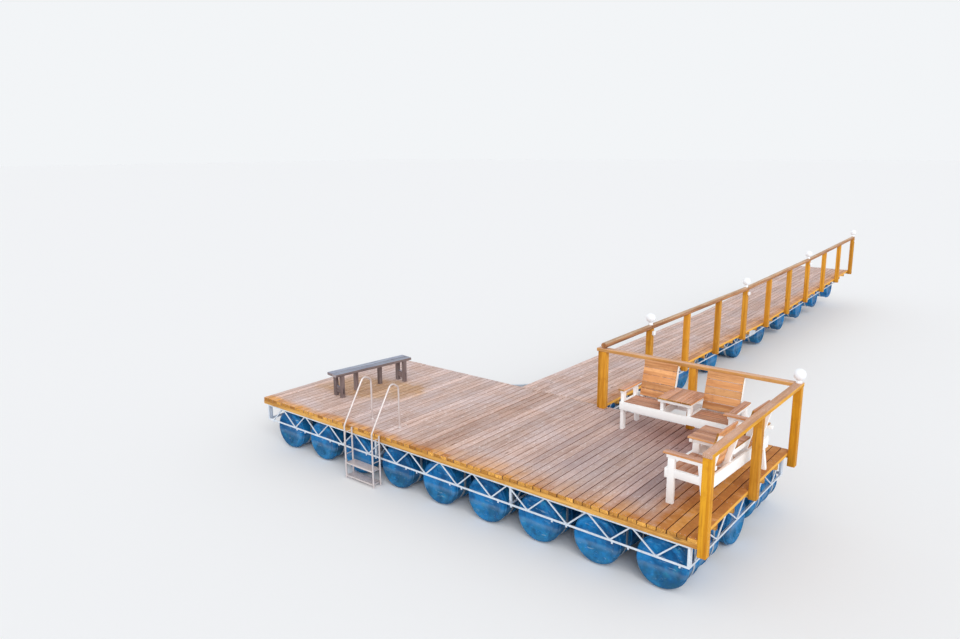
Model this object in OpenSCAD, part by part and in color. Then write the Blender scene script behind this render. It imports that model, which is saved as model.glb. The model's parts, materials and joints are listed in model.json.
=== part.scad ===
// Floating wooden jetty: a platform on plastic drums, a gangway in two lengths
// with a rail on one side, a swimming ladder, a bench and two double seats.
// All sizes are in millimetres. Construction coordinates start at the front
// left corner of the platform's deck top: X along its front edge, Y to the
// shore, Z up. The finished part stands on its drums, centred on its origin.

/* [Platform] */
// Length of the platform's deck along its front edge
deck_len = 7200; // [5600:10:9000]
// Depth of the platform's deck from the water side to the gangway
deck_depth = 2940; // [2500:10:3600]
// Thickness of the deck boards
board_t = 32; // [20:1:50]
// Height of the joists under the boards
joist_h = 70; // [40:1:120]
// Width of the joists
joist_w = 50; // [35:1:90]
// Largest distance between two joists
joist_pitch = 490; // [350:10:700]

/* [Gangway] */
// Width of the gangway's deck
gang_w = 1520; // [1300:10:1900]
// Distance from the platform's left end to the gangway's left edge
gang_x = 2915; // [2400:5:3400]
// Distance between two gangway posts
bay = 1440; // [1200:10:1600]
// Number of bays in each of the two lengths of gangway
bays = 5; // [4:1:7]
// Slope of the shore length
ramp_angle = 2.1; // [0.5:0.1:5]
// Open joint between the two lengths
joint_gap = 10; // [6:1:20]

/* [Steel frame] */
// Side of the square chords and end posts
chord = 35; // [25:1:50]
// Height of a truss over its chords
truss_h = 254; // [200:2:340]
// Side of the square web bars
web_bar = 26; // [14:1:32]
// Length of one zigzag of the web
web_pitch = 547; // [420:1:680]
// Run of a rising web bar along the chord
web_run = 254; // [160:1:300]
// Distance from a truss end to the first web bar
web_margin = 120; // [60:1:200]
// Setback of the frame from the deck's left and right edges
inset_side = 70; // [20:1:120]
// Setback of the frame from the deck's front and back edges
inset_front = 15; // [5:1:50]
// Reach of a corner brace along the platform and along the gangway
brace_l = 950; // [400:10:1000]
// Width of a corner brace along the chord that it meets
brace_w = 60; // [40:5:120]
// Length of the plates that join the two lengths of gangway
plate_l = 420; // [200:10:700]
// Thickness of these plates
plate_t = 8; // [5:1:15]

/* [Floats] */
// Free space at each end of a drum beside a truss
drum_gap = 5; // [2:1:15]
// Diameter of a drum over its rolling rings
ring_d = 595; // [560:1:600]
// Depth of the drum's wall below its rings
ring_h = 11; // [7:1:20]
// Length of a drum
drum_len = 900; // [820:1:905]
// Distance from the deck's left end to the first drum's axis
drum_left = 550; // [390:5:620]
// Distance from the last drum's axis to the deck's right end
drum_right = 405; // [390:5:520]
// Number of drums in the front and back rows
drum_count = 9; // [6:1:9]
// Thickness of the strap round a drum
strap_t = 4; // [2:0.5:6]
// Width of the strap
strap_w = 40; // [25:1:60]

/* [Rails] */
// Side of the square posts
post_w = 95; // [70:1:120]
// Height of the platform rail's top over the deck
rail_top = 930; // [800:5:1100]
// Thickness of the platform rail
rail_t = 48; // [30:1:60]
// Width of the platform rail
rail_w = 105; // [90:1:130]
// Depth to which the outside corner posts hang below the deck top
post_drop = 185; // [110:5:300]
// Diameter of the log rail on the gangway
log_d = 90; // [70:1:110]
// Depth of the log's seat in a post
log_seat = 20; // [10:1:30]
// Distance from the platform's back edge to the axis of the back rail
back_rail_in = 75; // [55:1:120]
// Overhang of the back rail past its doubled first post
rail_over = 12; // [0:1:40]

/* [Lamps] */
// Diameter of a lamp globe
globe_d = 155; // [120:1:200]
// Diameter of a lamp holder
holder_d = 78; // [50:1:100]
// Height of a lamp holder above the rail
holder_h = 42; // [25:1:80]
// Side of a junction box
jbox = 66; // [45:1:90]

/* [Ladder] */
// Distance from the platform's left end to the ladder's left side
ladder_x = 2100; // [1500:10:4500]
// Distance between the ladder's two sides
ladder_w = 555; // [400:5:650]
// Diameter of the ladder tubes
tube_d = 33; // [25:1:50]
// Distance of the front tubes from the deck edge
ladder_out = 150; // [110:5:200]
// Height of the handrail's bend above the deck
grab_z = 690; // [550:5:850]
// Distance of the handrail's foot from the deck edge
grab_y = 380; // [300:5:500]
// Radius of the tube bends
bend_r = 70; // [45:5:80]
// Height of a ladder's foot above the underside of the drums
ladder_clear = 12; // [5:1:60]

/* [Bench] */
// Length of the bench
bench_l = 1480; // [1000:10:2000]
// Width of the bench
bench_w = 250; // [200:5:400]
// Height of the bench
bench_h = 400; // [340:5:480]
// Turn of the bench from the deck boards
bench_turn = 8; // [0:1:20]

/* [Double seats] */
// Width of a double seat over its side frames
seat_w = 1600; // [1500:10:1800]
// Height of the seat planks
seat_h = 405; // [340:5:460]
// Height of the arms and of the table
arm_h = 594; // [500:2:640]
// Depth of the seat from its front legs to its backrest
seat_d = 366; // [330:2:420]
// Height of the backrest
back_h = 905; // [800:5:920]
// Lean of the backrest from the seat to its top
back_lean = 128; // [60:2:140]
// Width of the table between the two seats
table_w = 470; // [380:5:520]
// Thickness of the planks
plank_t = 22; // [16:1:30]
// Height of the board in front of the seat
apron_h = 110; // [70:1:130]
// Thickness of the boards in front of the seat and behind it
apron_t = 34; // [20:1:40]
// Distance from the back seat's left end to the platform's right edge
back_seat_x = 2097; // [1800:1:3000]
// Distance from the back seat's front legs to the platform's back edge
back_seat_y = 695; // [600:5:1200]
// Distance from the right seat's far front leg to the platform's right edge
right_seat_x = 538; // [500:1:1200]
// Distance from the right seat's far end to the platform's back edge
right_seat_y = 775; // [700:5:1300]
// Turn of the right seat from the platform's edge
right_seat_turn = 2.6; // [0:0.1:4]

/* [Hidden] */
$fn = 48;

// Colours as in the photograph
deck_colour = "#b98268";
timber_colour = "#d08a35";
log_colour = "#c39a6b";
steel_colour = "#c3cbd6";
drum_colour = "#2272b8";
strap_colour = "#9aa3ad";
white_colour = "#f2f2f0";
plank_colour = "#b57a55";
bench_colour = "#8f8f9b";

// Clearances: between faces that meet, and round a drum under its straps
fit = 0.3;
strap_fit = 0.8;

// Levels below the deck top
joist_z = -board_t - joist_h;
bearer_z = joist_z - chord;
drum_r = ring_d / 2;
drum_z = bearer_z - fit - drum_r;
floor_z = drum_z - drum_r;
pad_z = bearer_z - ring_h;

// Plan of the gangway
gang_len = bay * bays;
gang_right = gang_x + gang_w;
ramp_y = deck_depth + gang_len;
truss_l_x = gang_x + (gang_w - drum_len) / 2 - drum_gap - chord;
truss_r_x = gang_right - (gang_w - drum_len) / 2 + drum_gap;

// Row of drums and the cross trusses that stand in its gaps
drum_pitch = (deck_len - drum_left - drum_right) / (drum_count - 1);
function drum_axis(i) = drum_left + i * drum_pitch;
cross_gap = round(drum_count / 3);
cross_x = [for (k = [1, 2]) drum_axis(k * cross_gap - 0.5) - chord / 2];
inner_lo = inset_front + chord;
inner_hi = deck_depth - inset_front - chord;
row_y = inner_lo + drum_gap;
back_row_y = inner_hi - drum_gap - drum_len;

// Overall box of the part, in construction coordinates
x_max = deck_len + post_w / 2 + max(rail_w, globe_d) / 2;
y_min = -ladder_out - tube_d / 2;
y_max = ramp_y + gang_len * cos(ramp_angle) - joist_z * sin(ramp_angle);

module at_origin() {
    translate([-x_max / 2, -(y_min + y_max) / 2, -floor_z]) children();
}

// Places the shore length: its coordinates start at the joint's deck top
module on_ramp() {
    translate([0, ramp_y, 0]) rotate([ramp_angle, 0, 0]) children();
}

// Deck slabs

module platform_deck() {
    color(deck_colour) at_origin()
        translate([0, 0, -board_t]) cube([deck_len, deck_depth, board_t]);
}

module gangway_slab(start, length) {
    color(deck_colour)
        translate([gang_x, start, -board_t]) cube([gang_w, length, board_t]);
}

module gangway_deck() {
    at_origin() gangway_slab(deck_depth, gang_len - joint_gap / 2);
}

module shore_deck() {
    at_origin() on_ramp() gangway_slab(joint_gap / 2, gang_len - joint_gap / 2);
}

// Joists lie across the boards and show their ends at the deck's edge
function joist_steps(length) = ceil((length - joist_w) / joist_pitch);

module joist_row(x, width, start, length) {
    steps = joist_steps(length);
    color(timber_colour)
        for (i = [0 : steps])
            translate([x, start + i * (length - joist_w) / steps, joist_z])
                cube([width, joist_w, joist_h]);
}

module platform_joists() {
    at_origin() joist_row(0, deck_len, 0, deck_depth);
}

module gangway_joists() {
    at_origin() joist_row(gang_x, gang_w, deck_depth, gang_len - joint_gap / 2);
}

module shore_joists() {
    at_origin() on_ramp()
        joist_row(gang_x, gang_w, joint_gap / 2, gang_len - joint_gap / 2);
}

// A bar of square section between two points of a truss's plane
module web(from, to) {
    run = to - from;
    translate([from[0], chord / 2, from[1]])
        rotate([0, -atan2(run[1], run[0]), 0])
            translate([0, -web_bar / 2, -web_bar / 2]) cube([norm(run), web_bar, web_bar]);
}

// A flat truss from x = 0 to length, with its top chord under the joists
module truss(length) {
    zigzags = max(1, round((length - 2 * web_margin - web_run) / web_pitch));
    pitch = (length - 2 * web_margin - web_run) / zigzags;
    top = joist_z - chord / 2;
    low = joist_z - truss_h + chord / 2;
    color(steel_colour) union() {
        for (z = [top, low])
            translate([0, 0, z - chord / 2]) cube([length, chord, chord]);
        for (x = [0, length - chord])
            translate([x, 0, joist_z - truss_h]) cube([chord, chord, truss_h]);
        for (i = [0 : zigzags])
            web([web_margin + i * pitch, low],
                [web_margin + i * pitch + web_run, top]);
        for (i = [0 : zigzags - 1])
            web([web_margin + i * pitch + web_run, top],
                [web_margin + (i + 1) * pitch, low]);
    }
}

// A truss along Y, with its left face at x
module long_truss(x, start, length) {
    translate([x + chord, start, 0]) rotate([0, 0, 90]) truss(length);
}

module front_truss() {
    at_origin() translate([inset_side, inset_front, 0])
        truss(deck_len - 2 * inset_side);
}

module back_truss() {
    at_origin() translate([inset_side, inner_hi, 0])
        truss(deck_len - 2 * inset_side);
}

module left_truss() {
    at_origin() long_truss(inset_side, inner_lo, inner_hi - inner_lo);
}

module right_truss() {
    at_origin() long_truss(deck_len - inset_side - chord, inner_lo,
                           inner_hi - inner_lo);
}

module cross_trusses() {
    at_origin() for (x = cross_x)
        long_truss(x, inner_lo, inner_hi - inner_lo);
}

module gangway_left_truss() {
    at_origin() long_truss(truss_l_x, deck_depth - inset_front,
                           gang_len + inset_front - joint_gap / 2);
}

module gangway_right_truss() {
    at_origin() long_truss(truss_r_x, deck_depth - inset_front,
                           gang_len + inset_front - joint_gap / 2);
}

module shore_left_truss() {
    at_origin() on_ramp()
        long_truss(truss_l_x, joint_gap / 2, gang_len - joint_gap / 2 - inset_front);
}

module shore_right_truss() {
    at_origin() on_ramp()
        long_truss(truss_r_x, joint_gap / 2, gang_len - joint_gap / 2 - inset_front);
}

// Bearers lie on the drums' walls between the rings; they butt against the
// trusses
module bearer(from, to) {
    translate([min(from[0], to[0]), min(from[1], to[1]), pad_z])
        cube([max(chord, abs(to[0] - from[0])),
              max(chord, abs(to[1] - from[1])), joist_z - pad_z]);
}

// Places of the two straps and bearers along a drum
strap_at = [drum_len * 0.22, drum_len * 0.78];

module platform_bearers() {
    stops = [inset_side, cross_x[0], cross_x[1], deck_len - inset_side - chord];
    color(steel_colour) at_origin() {
        for (row = [row_y, back_row_y], s = strap_at, k = [0 : 2])
            bearer([stops[k] + chord, row + s - chord / 2],
                   [stops[k + 1], row + s - chord / 2]);
        for (x = middle_x, s = strap_at)
            bearer([x + s - chord / 2, row_y + strap_at[1] + chord / 2 + fit],
                   [x + s - chord / 2, back_row_y + strap_at[0] - chord / 2 - fit]);
    }
}

module gangway_bearer_set(first) {
    color(steel_colour)
        for (i = [0 : bays - 1], side = [-1, 1])
            bearer([truss_l_x + chord, first + i * bay + side * strap_run - chord / 2],
                   [truss_r_x, first + i * bay + side * strap_run - chord / 2]);
}

module gangway_bearers() {
    at_origin() gangway_bearer_set(deck_depth + bay / 2);
}

module shore_bearers() {
    at_origin() on_ramp() gangway_bearer_set(bay / 2);
}

// Flat braces across the corners between the gangway and the platform, in the
// plane of the top chords, and plates that join the two lengths of gangway
module corner_braces() {
    color(steel_colour) at_origin() translate([0, 0, joist_z - chord]) {
        corner_brace(truss_l_x, -1);
        corner_brace(truss_r_x + chord, 1);
    }
}

module corner_brace(face, side) {
    start = deck_depth - inset_front;
    linear_extrude(chord)
        polygon([[face, start + brace_l], [face + side * brace_l, start],
                 [face + side * (brace_l - brace_w), start],
                 [face, start + brace_l - brace_w]]);
}

module joint_plates() {
    color(steel_colour) at_origin()
        for (x = [truss_l_x - plate_t, truss_r_x + chord])
            translate([x, ramp_y - plate_l / 2, joist_z - truss_h])
                cube([plate_t, plate_l, truss_h]);
}

// Floats

drum_wall_r = drum_r - ring_h;
shoulder_r = 0.12 * drum_r;
head_in = 0.06 * drum_r;
ring_w = 0.1 * drum_r;
ring_at = 0.3;

// A moulded ring round the drum, with sloping sides
module ring_profile(y) {
    polygon([[drum_wall_r - 1, y - ring_w / 2], [drum_r, y - ring_w / 4],
             [drum_r, y + ring_w / 4], [drum_wall_r - 1, y + ring_w / 2]]);
}

// Half of the drum's outline: a head sunk in the end rim, a rounded shoulder,
// the plain wall, a rolling ring and the ring at the shoulder
module drum_half_outline() {
    half = drum_len / 2;
    difference() {
        union() {
            square([drum_wall_r, half - shoulder_r]);
            square([drum_wall_r - shoulder_r, half]);
            translate([drum_wall_r - shoulder_r, half - shoulder_r]) circle(r = shoulder_r);
            ring_profile(half * ring_at);
            ring_profile(half - shoulder_r - ring_w / 2);
        }
        polygon([[-1, half - head_in], [drum_wall_r - 1.9 * shoulder_r, half - head_in],
                 [drum_wall_r - 1.3 * shoulder_r, half + 1], [-1, half + 1]]);
        translate([-shoulder_r * 2, -1]) square([shoulder_r * 2, drum_len]);
    }
}

// A drum from y = 0 to its length, with its axis at the origin
module drum() {
    color(drum_colour) translate([0, drum_len / 2, 0]) rotate([90, 0, 0])
        rotate_extrude() {
            drum_half_outline();
            mirror([0, 1]) drum_half_outline();
        }
}

module drum_row(y) {
    for (i = [0 : drum_count - 1])
        translate([drum_axis(i), y, drum_z]) drum();
}

// A drum across the frame, from x to the right
module cross_drum(x, y) {
    translate([x, y, drum_z]) rotate([0, 0, -90]) drum();
}

middle_gap = 3 * drum_gap;
middle_x = [inset_side + chord + middle_gap,
            deck_len - inset_side - chord - middle_gap - drum_len];
gang_drum_x = truss_l_x + chord + drum_gap;

module front_floats() {
    at_origin() drum_row(row_y);
}

module back_floats() {
    at_origin() drum_row(back_row_y);
}

module middle_floats() {
    at_origin() for (x = middle_x) cross_drum(x, deck_depth / 2);
}

module gangway_floats() {
    at_origin() for (i = [0 : bays - 1])
        cross_drum(gang_drum_x, deck_depth + (i + 0.5) * bay);
}

module shore_floats() {
    at_origin() on_ramp() for (i = [0 : bays - 1])
        cross_drum(gang_drum_x, (i + 0.5) * bay);
}

// Straps: a half hoop under the drum, with two legs up to the bearers
strap_r = drum_wall_r + strap_fit;
strap_run = strap_r + strap_t - chord / 2;

module strap() {
    rise = pad_z - drum_z;
    color(strap_colour) rotate([90, 0, 0]) translate([0, 0, -strap_w / 2])
        linear_extrude(strap_w) {
            difference() {
                circle(r = strap_r + strap_t, $fn = 96);
                circle(r = strap_r, $fn = 96);
                translate([-ring_d, 0]) square([2 * ring_d, ring_d]);
            }
            for (side = [-1, 1])
                translate([side * (strap_r + strap_t / 2) - strap_t / 2, 0])
                    square([strap_t, rise]);
        }
}

module platform_straps() {
    at_origin() {
        for (i = [0 : drum_count - 1], row = [row_y, back_row_y], s = strap_at)
            translate([drum_axis(i), row + s, drum_z]) strap();
        for (x = middle_x) cross_strap(x, deck_depth / 2);
    }
}

module cross_strap(x, y) {
    for (s = strap_at)
        translate([x + s, y, drum_z]) rotate([0, 0, 90]) strap();
}

module gangway_straps() {
    at_origin() for (i = [0 : bays - 1])
        cross_strap(gang_drum_x, deck_depth + (i + 0.5) * bay);
}

module shore_straps() {
    at_origin() on_ramp() for (i = [0 : bays - 1])
        cross_strap(gang_drum_x, (i + 0.5) * bay);
}

// Posts and rails

right_post_x = deck_len + post_w / 2;
right_post_ys = [post_w / 2, (post_w / 2 + deck_depth - back_rail_in) / 2,
                 deck_depth - back_rail_in];
back_post_y = deck_depth - back_rail_in;
gang_post_x = gang_right + post_w / 2;
first_post_x = gang_post_x;
rail_low = rail_top - rail_t;
log_z = rail_top + fit + log_d / 2;

module post(x, y, low, high) {
    color(timber_colour) translate([x - post_w / 2, y - post_w / 2, low])
        cube([post_w, post_w, high - low]);
}

module right_posts() {
    at_origin() {
        for (i = [0, 2]) post(right_post_x, right_post_ys[i], -post_drop, rail_low);
        post(right_post_x, right_post_ys[1], joist_z, rail_low);
    }
}

// The first post carries the back rail and the first log, so it is doubled
module back_posts() {
    doubler = post_w / 2;
    at_origin() {
        post(first_post_x, back_post_y, 0, rail_low);
        color(timber_colour)
            translate([first_post_x - post_w / 2 - doubler, back_post_y - post_w / 4, 0])
                cube([doubler, post_w * 0.75, rail_low]);
        post((first_post_x + right_post_x) / 2, back_post_y, 0, rail_low);
    }
}

module right_rail() {
    color(timber_colour) at_origin()
        translate([right_post_x - rail_w / 2, 0, rail_low])
            cube([rail_w, back_post_y + rail_w / 2, rail_t]);
}

module back_rail() {
    left = first_post_x - post_w - rail_over;
    color(timber_colour) at_origin()
        translate([left, back_post_y - rail_w / 2, rail_low])
            cube([right_post_x - rail_w / 2 - left, rail_w, rail_t]);
}

// Places of the gangway posts along the level length and along the ramp
post_in = post_w / 2 + 5;
level_ys = [for (i = [1 : bays]) deck_depth - post_in + i * bay];
ramp_ys = [for (i = [1 : bays]) i * bay - post_in];

// The log rail's axis: level up to a lamp post, then rising to the ramp's rail
lamp_step = 3;
function ramp_point(y, z) = [ramp_y + y * cos(ramp_angle) - z * sin(ramp_angle),
                             y * sin(ramp_angle) + z * cos(ramp_angle)];
stations = concat([[deck_depth - back_rail_in, log_z]],
                  [for (y = level_ys) [y, log_z]],
                  [for (y = ramp_ys) ramp_point(y, log_z)]);
lamp_stations = [for (i = [1 : lamp_step : len(stations) - 1]) i];
log_ends = concat([0], lamp_stations);
// Rise of the log that crosses the joint, at the posts that stand under it
function bridge_start() = max([for (i = log_ends) if (i <= bays) i]);
function bridge_end() = min([for (i = log_ends) if (i > bays) i]);
function bridge_z(i) =
    let (a = stations[bridge_start()], b = stations[bridge_end()])
        a[1] + (b[1] - a[1]) * (stations[i][0] - a[0]) / (b[0] - a[0]);
function log_height(i) =
    i > bridge_start() && i < bridge_end() ? bridge_z(i) : stations[i][1];
function log_slope(i) =
    let (a = stations[bridge_start()], b = stations[bridge_end()])
        i <= bridge_start() ? 0 : i >= bridge_end() ? ramp_angle
        : atan2(b[1] - a[1], b[0] - a[0]);

module log_between(from, to) {
    run = to - from;
    gap = 4;
    translate([gang_post_x, from[0], from[1]])
        rotate([atan2(run[1], run[0]) - 90, 0, 0])
            translate([0, 0, gap]) cylinder(d = log_d, h = norm(run) - 2 * gap);
}

module log_rails() {
    last = len(log_ends) - 1;
    color(log_colour) at_origin()
        for (k = [0 : last - 1])
            log_between(stations[log_ends[k]] - [k == 0 ? post_w / 2 : 0, 0],
                        stations[log_ends[k + 1]]
                        + (k == last - 1 ? [post_w / 2, post_w / 2 * tan(ramp_angle)] : [0, 0]));
}

// A post with a round seat for the log on its top, the log at a slope
module seated_post(y, high, drop, slope) {
    color(timber_colour) difference() {
        translate([gang_post_x - post_w / 2, y - post_w / 2, drop])
            cube([post_w, post_w, high - log_d / 2 + log_seat - drop]);
        translate([gang_post_x, y, high]) rotate([slope - 90, 0, 0])
            cylinder(d = log_d + 2 * fit, h = 2 * post_w, center = true);
    }
}

module gangway_posts() {
    at_origin() for (i = [1 : bays])
        seated_post(stations[i][0], log_height(i), joist_z, log_slope(i));
}

module shore_posts() {
    at_origin() on_ramp() for (i = [1 : bays]) {
        k = bays + i;
        lift = (log_height(k) - stations[k][1]) * cos(ramp_angle);
        seated_post(ramp_ys[i - 1], log_z + lift, joist_z, log_slope(k) - ramp_angle);
    }
}

// Lamps

module lamp_places() {
    for (i = lamp_stations)
        translate([gang_post_x, stations[i][0], log_height(i) + log_d / 2]) children();
    translate([right_post_x, back_post_y, rail_top]) children();
}

module lamp_holders() {
    seat = 8;
    color(white_colour) at_origin() {
        for (i = lamp_stations)
            difference() {
                translate([gang_post_x, stations[i][0], log_height(i) + log_d / 2 - seat])
                    cylinder(d = holder_d, h = holder_h + seat);
                translate([gang_post_x, stations[i][0], log_height(i)])
                    rotate([log_slope(i) - 90, 0, 0])
                        cylinder(d = log_d + 2 * fit, h = 2 * holder_d, center = true);
            }
        translate([right_post_x, back_post_y, rail_top])
            cylinder(d = holder_d, h = holder_h);
    }
}

// A globe with a flat where it stands on its holder
module lamp_globes() {
    dip = 10;
    color(white_colour) at_origin() lamp_places()
        difference() {
            translate([0, 0, holder_h + globe_d / 2 - dip]) sphere(d = globe_d);
            translate([-globe_d, -globe_d, holder_h - globe_d])
                cube([2 * globe_d, 2 * globe_d, globe_d]);
        }
}

module junction_boxes() {
    below = log_d / 2 + jbox + 12;
    color(white_colour) at_origin()
        for (i = lamp_stations)
            translate([gang_post_x + post_w / 2, stations[i][0], log_height(i) - below])
                intersection() {
                    translate([0, -jbox / 2, 0]) cube([jbox * 0.6, jbox, jbox]);
                    translate([-1, 0, jbox / 2]) rotate([0, 90, 0])
                        cylinder(d = jbox * 1.24, h = jbox);
                }
}

// Ladder

// A round tube along points of the XY plane, bent at each inner point. A bend
// is a hair thinner than the straight lengths and runs a little way into them
module bent_tube(points, bend, d) {
    last = len(points) - 1;
    hair = 0.2;
    lap = 1.6;
    function heading(i) = (points[i + 1] - points[i]) / norm(points[i + 1] - points[i]);
    function turn(i) =
        let (a = heading(i - 1), b = heading(i))
            atan2(a[0] * b[1] - a[1] * b[0], a * b);
    function cut(i) = i == 0 || i == last ? 0 : bend * tan(abs(turn(i)) / 2);
    for (i = [0 : last - 1]) {
        start = points[i] + heading(i) * cut(i);
        run = norm(points[i + 1] - points[i]) - cut(i) - cut(i + 1);
        translate([start[0], start[1], 0])
            rotate([0, 90, atan2(heading(i)[1], heading(i)[0])])
                cylinder(d = d, h = run);
    }
    for (i = [1 : last - 1]) {
        side = sign(turn(i));
        a = heading(i - 1);
        centre = points[i] - a * cut(i) + side * bend * [-a[1], a[0]];
        from = atan2(side * -a[0], side * a[1]) + (side > 0 ? 0 : turn(i));
        translate([centre[0], centre[1], 0]) rotate([0, 0, from - lap])
            rotate_extrude(angle = abs(turn(i)) + 2 * lap)
                translate([bend, 0]) circle(d = d - hair);
    }
}

ladder_low = floor_z + ladder_clear;
ladder_back = -tube_d / 2 - 6;
bracket_z = -board_t / 2;

// One side: a front tube that runs up into the handrail, a rear tube, two
// rungs between them, a flat bracket on the deck's edge and a stay to the truss
module ladder_side() {
    stay_z = joist_z - truss_h + chord / 2;
    rung_d = tube_d * 0.7;
    flat = 8;
    union() {
        bent_tube([[-ladder_out, ladder_low], [-ladder_out, 60],
                   [grab_y * 0.63, grab_z], [grab_y, grab_z - 90], [grab_y, 0]],
                  bend_r, tube_d);
        translate([ladder_back, ladder_low, 0])
            rotate([-90, 0, 0]) cylinder(d = tube_d, h = -ladder_low - 4);
        for (z = [bracket_z - tube_d, stay_z - tube_d])
            translate([-ladder_out, z, 0]) rotate([0, 90, 0])
                cylinder(d = rung_d, h = ladder_out + ladder_back);
        translate([ladder_back, bracket_z - flat, -tube_d / 3])
            cube([-ladder_back, 2 * flat, tube_d / 1.5]);
        translate([ladder_back, stay_z - flat, -tube_d / 3])
            cube([inset_front - ladder_back, 2 * flat, tube_d / 1.5]);
        translate([grab_y, 0, 0]) rotate([-90, 0, 0]) cylinder(d = tube_d * 2.2, h = 6);
    }
}

module ladder_sides() {
    color(steel_colour) at_origin()
        for (x = [ladder_x, ladder_x + ladder_w])
            translate([x, 0, 0]) rotate([90, 0, 90]) ladder_side();
}

tread_t = 24;
tread_step = 190;

module ladder_treads() {
    inner = ladder_w - tube_d;
    deep = ladder_out + ladder_back + tube_d;
    color(steel_colour) at_origin()
        for (k = [0, 1])
            translate([ladder_x + tube_d / 2, -ladder_out - tube_d / 2,
                       ladder_low + 30 + k * tread_step])
                cube([inner, deep, tread_t]);
}

// Bench

bench_at = [1005, deck_depth * 0.469];
bench_t = 0.11 * bench_h;
leg_t = 0.24 * bench_w;
leg_in = 0.088 * bench_l;
brace_low = 0.15 * bench_h;
brace_high = 0.42 * bench_h;

module on_bench() {
    translate([bench_at[0], bench_at[1], 0]) rotate([0, 0, -bench_turn]) children();
}

module bench_top() {
    gap = 10;
    half = (bench_w - gap) / 2;
    color(bench_colour) at_origin() on_bench()
        for (x = [-bench_w / 2, gap / 2])
            translate([x, -bench_l / 2, bench_h - bench_t]) cube([half, bench_l, bench_t]);
}

module bench_legs() {
    out = 0.48 * bench_w;
    end_y = bench_l / 2 - leg_in;
    color(bench_colour) at_origin() on_bench() {
        for (y = [-end_y, end_y]) union() {
            for (x = [-out, out - leg_t])
                translate([x, y - leg_t / 2, 0]) cube([leg_t, leg_t, bench_h - bench_t]);
            translate([-out, y - leg_t / 4, brace_low])
                cube([2 * out, leg_t / 2, brace_high - brace_low]);
        }
        for (y = [-end_y / 2.6, end_y / 2.6])
            translate([-out, y - leg_t / 2, 0]) cube([leg_t, leg_t, bench_h - bench_t]);
    }
}

// Double seats

leg_w = 45;
leg_d = 80;
rear_leg_d = 76;
side_rail_h = 90;
arm_rail_h = 42;
arm_w = 88;
arm_rail_back = 540;
stile = 65;
stile_w = 38;
stile_top = back_h - 33;
plank_over = 57;
end_over = 12;
table_over = 22;
arm_z = arm_h - plank_t;
apron_z = seat_h - apron_h;
rear_apron_top = seat_h + 25;
rear_apron_z = seat_h - apron_h - 5;
rear_foot = seat_d + 58;
plank_back = seat_d + 130;

// Front face of the back planks at a height
function back_y(z) = seat_d + (z - seat_h) * back_lean / (back_h - seat_h);

rear_y = back_y(rear_apron_top) + plank_t + stile;
table_x = (seat_w - table_w) / 2;
inner_x = table_x + table_over;
back_in = 100;
back_w = inner_x - back_in - fit;
backs = [back_in, seat_w - back_in - back_w];

// Outer side of a double seat: front leg, two rails and a rear leg that slants
// forward to its top. The upper rail starts before the leg
module outer_side(x) {
    front = 18;
    top_y = rear_foot - 0.145 * arm_z;
    translate([x, 0, 0]) rotate([90, 0, 90]) linear_extrude(leg_w) {
        square([leg_d, arm_z]);
        translate([0, seat_h - side_rail_h]) square([rear_y - fit, side_rail_h]);
        translate([-front, arm_z - arm_rail_h])
            square([arm_rail_back + front, arm_rail_h]);
        polygon([[rear_foot, 0], [rear_foot + rear_leg_d, 0],
                 [top_y + rear_leg_d, arm_z], [top_y, arm_z]]);
    }
}

// Inner side under the table: two rails and a short front leg between them
module inner_side(x) {
    low = seat_h - side_rail_h;
    translate([x, 0, 0]) rotate([90, 0, 90]) linear_extrude(leg_w) {
        translate([0, low]) square([leg_d, arm_z - low]);
        translate([0, low]) square([rear_y - fit, side_rail_h]);
        translate([0, arm_z - arm_rail_h]) square([rear_y - fit, arm_rail_h]);
    }
}

// Frame of a double seat: front legs at y = 0, back at +Y, from x = 0 to its
// width. It is open under the table
module seat_frame() {
    last = seat_w - leg_w;
    color(white_colour) {
        for (x = [0, last]) outer_side(x);
        for (x = [inner_x, last - inner_x]) inner_side(x);
        translate([0, -apron_t - fit, apron_z]) cube([seat_w, apron_t, apron_h]);
        translate([0, rear_y, rear_apron_z])
            cube([seat_w, apron_t, rear_apron_top - rear_apron_z]);
        translate([table_x, -apron_t - fit, arm_z - arm_rail_h])
            cube([table_w, apron_t, arm_rail_h]);
        translate([inner_x, rear_y, arm_z - 1.5 * arm_rail_h])
            cube([seat_w - 2 * inner_x, apron_t, 1.5 * arm_rail_h]);
        for (x0 = backs, e = [0, back_w - stile_w])
            back_stile(x0 + e);
    }
}

// Stile at the side of a backrest, leaning to the back
module back_stile(x) {
    foot = back_y(rear_apron_z) + plank_t + fit;
    head = back_y(stile_top) + plank_t + fit;
    translate([x, 0, 0]) rotate([90, 0, 90]) linear_extrude(stile_w)
        polygon([[foot, rear_apron_z], [foot + stile - 2 * fit, rear_apron_z],
                 [head + stile - 2 * fit, stile_top], [head, stile_top]]);
}

// Planks of a double seat: two seats, two backrests, two arms and the table
module seat_planks() {
    arm_l = plank_back + plank_over;
    color(plank_colour) {
        for (x = [leg_w + fit, seat_w - inner_x + fit]) seat_bay(x);
        for (x = [-end_over, seat_w + end_over - arm_w])
            translate([x, -plank_over, arm_z]) cube([arm_w, arm_l, plank_t]);
        for (x0 = backs) backrest(x0);
        table_top(arm_l);
    }
}

// Table strips along Y, notched at the sides to clear the backs
module table_top(long) {
    clear_y = back_y(arm_z) - 10;
    difference() {
        plank_strips([table_x, -plank_over, arm_z], table_w, long, 4, 4);
        for (x = [table_x - 1, seat_w - inner_x - fit])
            translate([x, clear_y, arm_z - 1]) cube([table_over + 1 + fit, seat_d, 2 * plank_t]);
    }
}

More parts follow.
